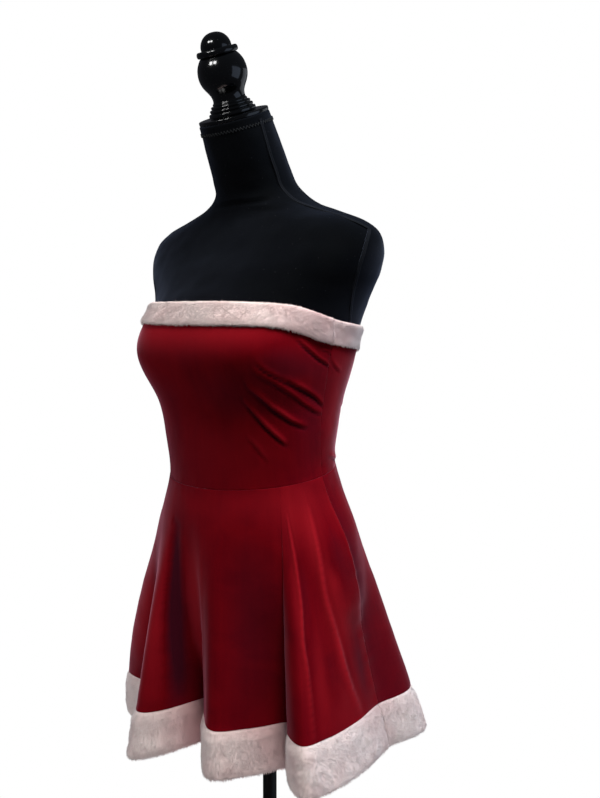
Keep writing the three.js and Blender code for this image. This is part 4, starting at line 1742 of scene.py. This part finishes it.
@dataclass
class Studio:
    """Camera, lights, white surround and floor.

    The camera looks level but for a slight pitch. Its place is given by the angle round the form,
    the distance from the pole and a small step to its right.
    """

    azimuth: float = 39.0
    distance: float = 1340.0
    step_right: float = 41.9
    height: float = 1200.0
    pitch: float = 3.5
    lens: float = 44.75
    floor_radius: float = 1100.0
    ambient: float = 0.045
    lights: tuple[Softbox, ...] = (
        Softbox("key_over", 1126, 466, 3050, 900, 63, "#fff8f2"),
        Softbox("key_side", 466, 1126, 3050, 900, 33, "#fff8f2"),
        Softbox("right_fill", 0, 1812, 2516, 900, 18, "#c9dbff"),
        Softbox("left_fill", 0, -2250, 1578, 900, 20, "#fff5f2"),
        Softbox("back_left", -1591, -1591, 1578, 900, 10, "#ebeefc"),
        Softbox("spark_outer", 1107, -1417, 2397, 400, 9, "#ffffff", mirrored=True),
        Softbox("spark_inner", 1470, -950, 2490, 400, 9, "#ffffff", mirrored=True),
        Softbox("window", 700, 1770, 1350, 1500, 4, "#c4d6f2", mirrored=True),
        Softbox("wall", -1300, 1500, 1500, 1400, 2.5, "#dfe6f0", mirrored=True),
    )

    def place(self, towards: float, right: float, height: float) -> Vector:
        """A place in metres from distances towards the camera, to its right, and a height."""
        turn = math.radians(self.azimuth)
        x = math.sin(turn) * towards + math.cos(turn) * right
        y = -math.cos(turn) * towards + math.sin(turn) * right
        return Vector((x, y, height)) * MM

    def camera(self) -> None:
        """Places the camera and makes it the scene's."""
        data = bpy.data.cameras.new("camera")
        data.lens, data.sensor_width = self.lens, 36.0
        data.clip_start, data.clip_end = 0.05, 50.0
        made = link("camera", data)
        made.location = self.place(self.distance, self.step_right, self.height)
        made.rotation_euler = (math.radians(90 - self.pitch), 0, math.radians(self.azimuth))
        bpy.context.scene.camera = made

    def light(self, box: Softbox) -> None:
        """Hangs one softbox, turned to the middle of the dress and unseen by the camera."""
        data = bpy.data.lights.new(box.name, "AREA")
        data.shape, data.size = "SQUARE", box.side * MM
        data.energy, data.color = box.power, linear(box.colour)[:3]
        made = link(box.name, data)
        made.location = self.place(box.towards_camera, box.to_the_right, box.height)
        aim = Vector((0, 0, 1.1)) - made.location
        made.rotation_euler = aim.to_track_quat("-Z", "Y").to_euler()
        made.visible_camera = False
        made.visible_glossy = box.mirrored
        made.visible_diffuse = not box.mirrored

    def surround(self) -> None:
        """A white surround that lights the form a little less than it shows."""
        world = bpy.data.worlds.new("white_surround")
        world.use_nodes = True
        tree = world.node_tree
        tree.nodes.clear()
        seen = add_node(tree, "ShaderNodeBackground", {"Color": (1.0, 1.0, 1.0, 1.0)})
        cast = add_node(tree, "ShaderNodeBackground",
                        {"Color": linear("#e9edff"), "Strength": self.ambient})
        ray = add_node(tree, "ShaderNodeLightPath").outputs["Is Camera Ray"]
        both = add_node(tree, "ShaderNodeMixShader",
                        {0: ray, 1: cast.outputs[0], 2: seen.outputs[0]})
        add_node(tree, "ShaderNodeOutputWorld", {"Surface": both.outputs[0]})
        bpy.context.scene.world = world

    def floor(self) -> None:
        """A round pale floor under the foot."""
        rings, sides = 24, 96
        radius = np.linspace(0.02, 1, rings)[:, None] * self.floor_radius
        turn = circle(sides)
        grid = np.stack([radius * np.cos(turn), radius * np.sin(turn),
                         np.zeros((rings, sides))], axis=-1)
        flat, middle, _ = ring_faces(rings, sides)
        points = np.concatenate([grid.reshape(-1, 3), [[0, 0, 0]]])
        piece = make_piece("studio_floor", points, [flat[:, ::-1], middle[:, ::-1]])
        piece.data.materials.append(PaleFloor().material())
        piece.visible_glossy = False

    def build(self) -> None:
        """Sets up the whole studio."""
        bpy.context.scene.view_settings.view_transform = "Standard"
        self.camera()
        self.surround()
        self.floor()
        for box in self.lights:
            self.light(box)


def main() -> None:
    """Builds every piece in order and the studio round it."""
    logging.basicConfig(level=logging.INFO, format="%(name)s %(message)s")
    form = FormShape()
    skirt = SkirtShape(form)
    red_velvet = CrushedVelvet().material()
    plush = Plush().material()
    Studio().build()
    Stand(Lacquer().material(), SatinSteel().material()).build()
    wear_and_painted_light = FormVelvet(name="black_cotton_velvet_rubbed", base="#0c0e11", worn="#181b1f")
    DressForm(form, FormVelvet().material(), wear_and_painted_light.material(), Thread().material()).build()
    Bodice(form=form, velvet=red_velvet).build()
    Skirt(shape=skirt, velvet=red_velvet).build()
    PlushTrims(form, skirt, plush).build()


if __name__ == "__main__":
    main()
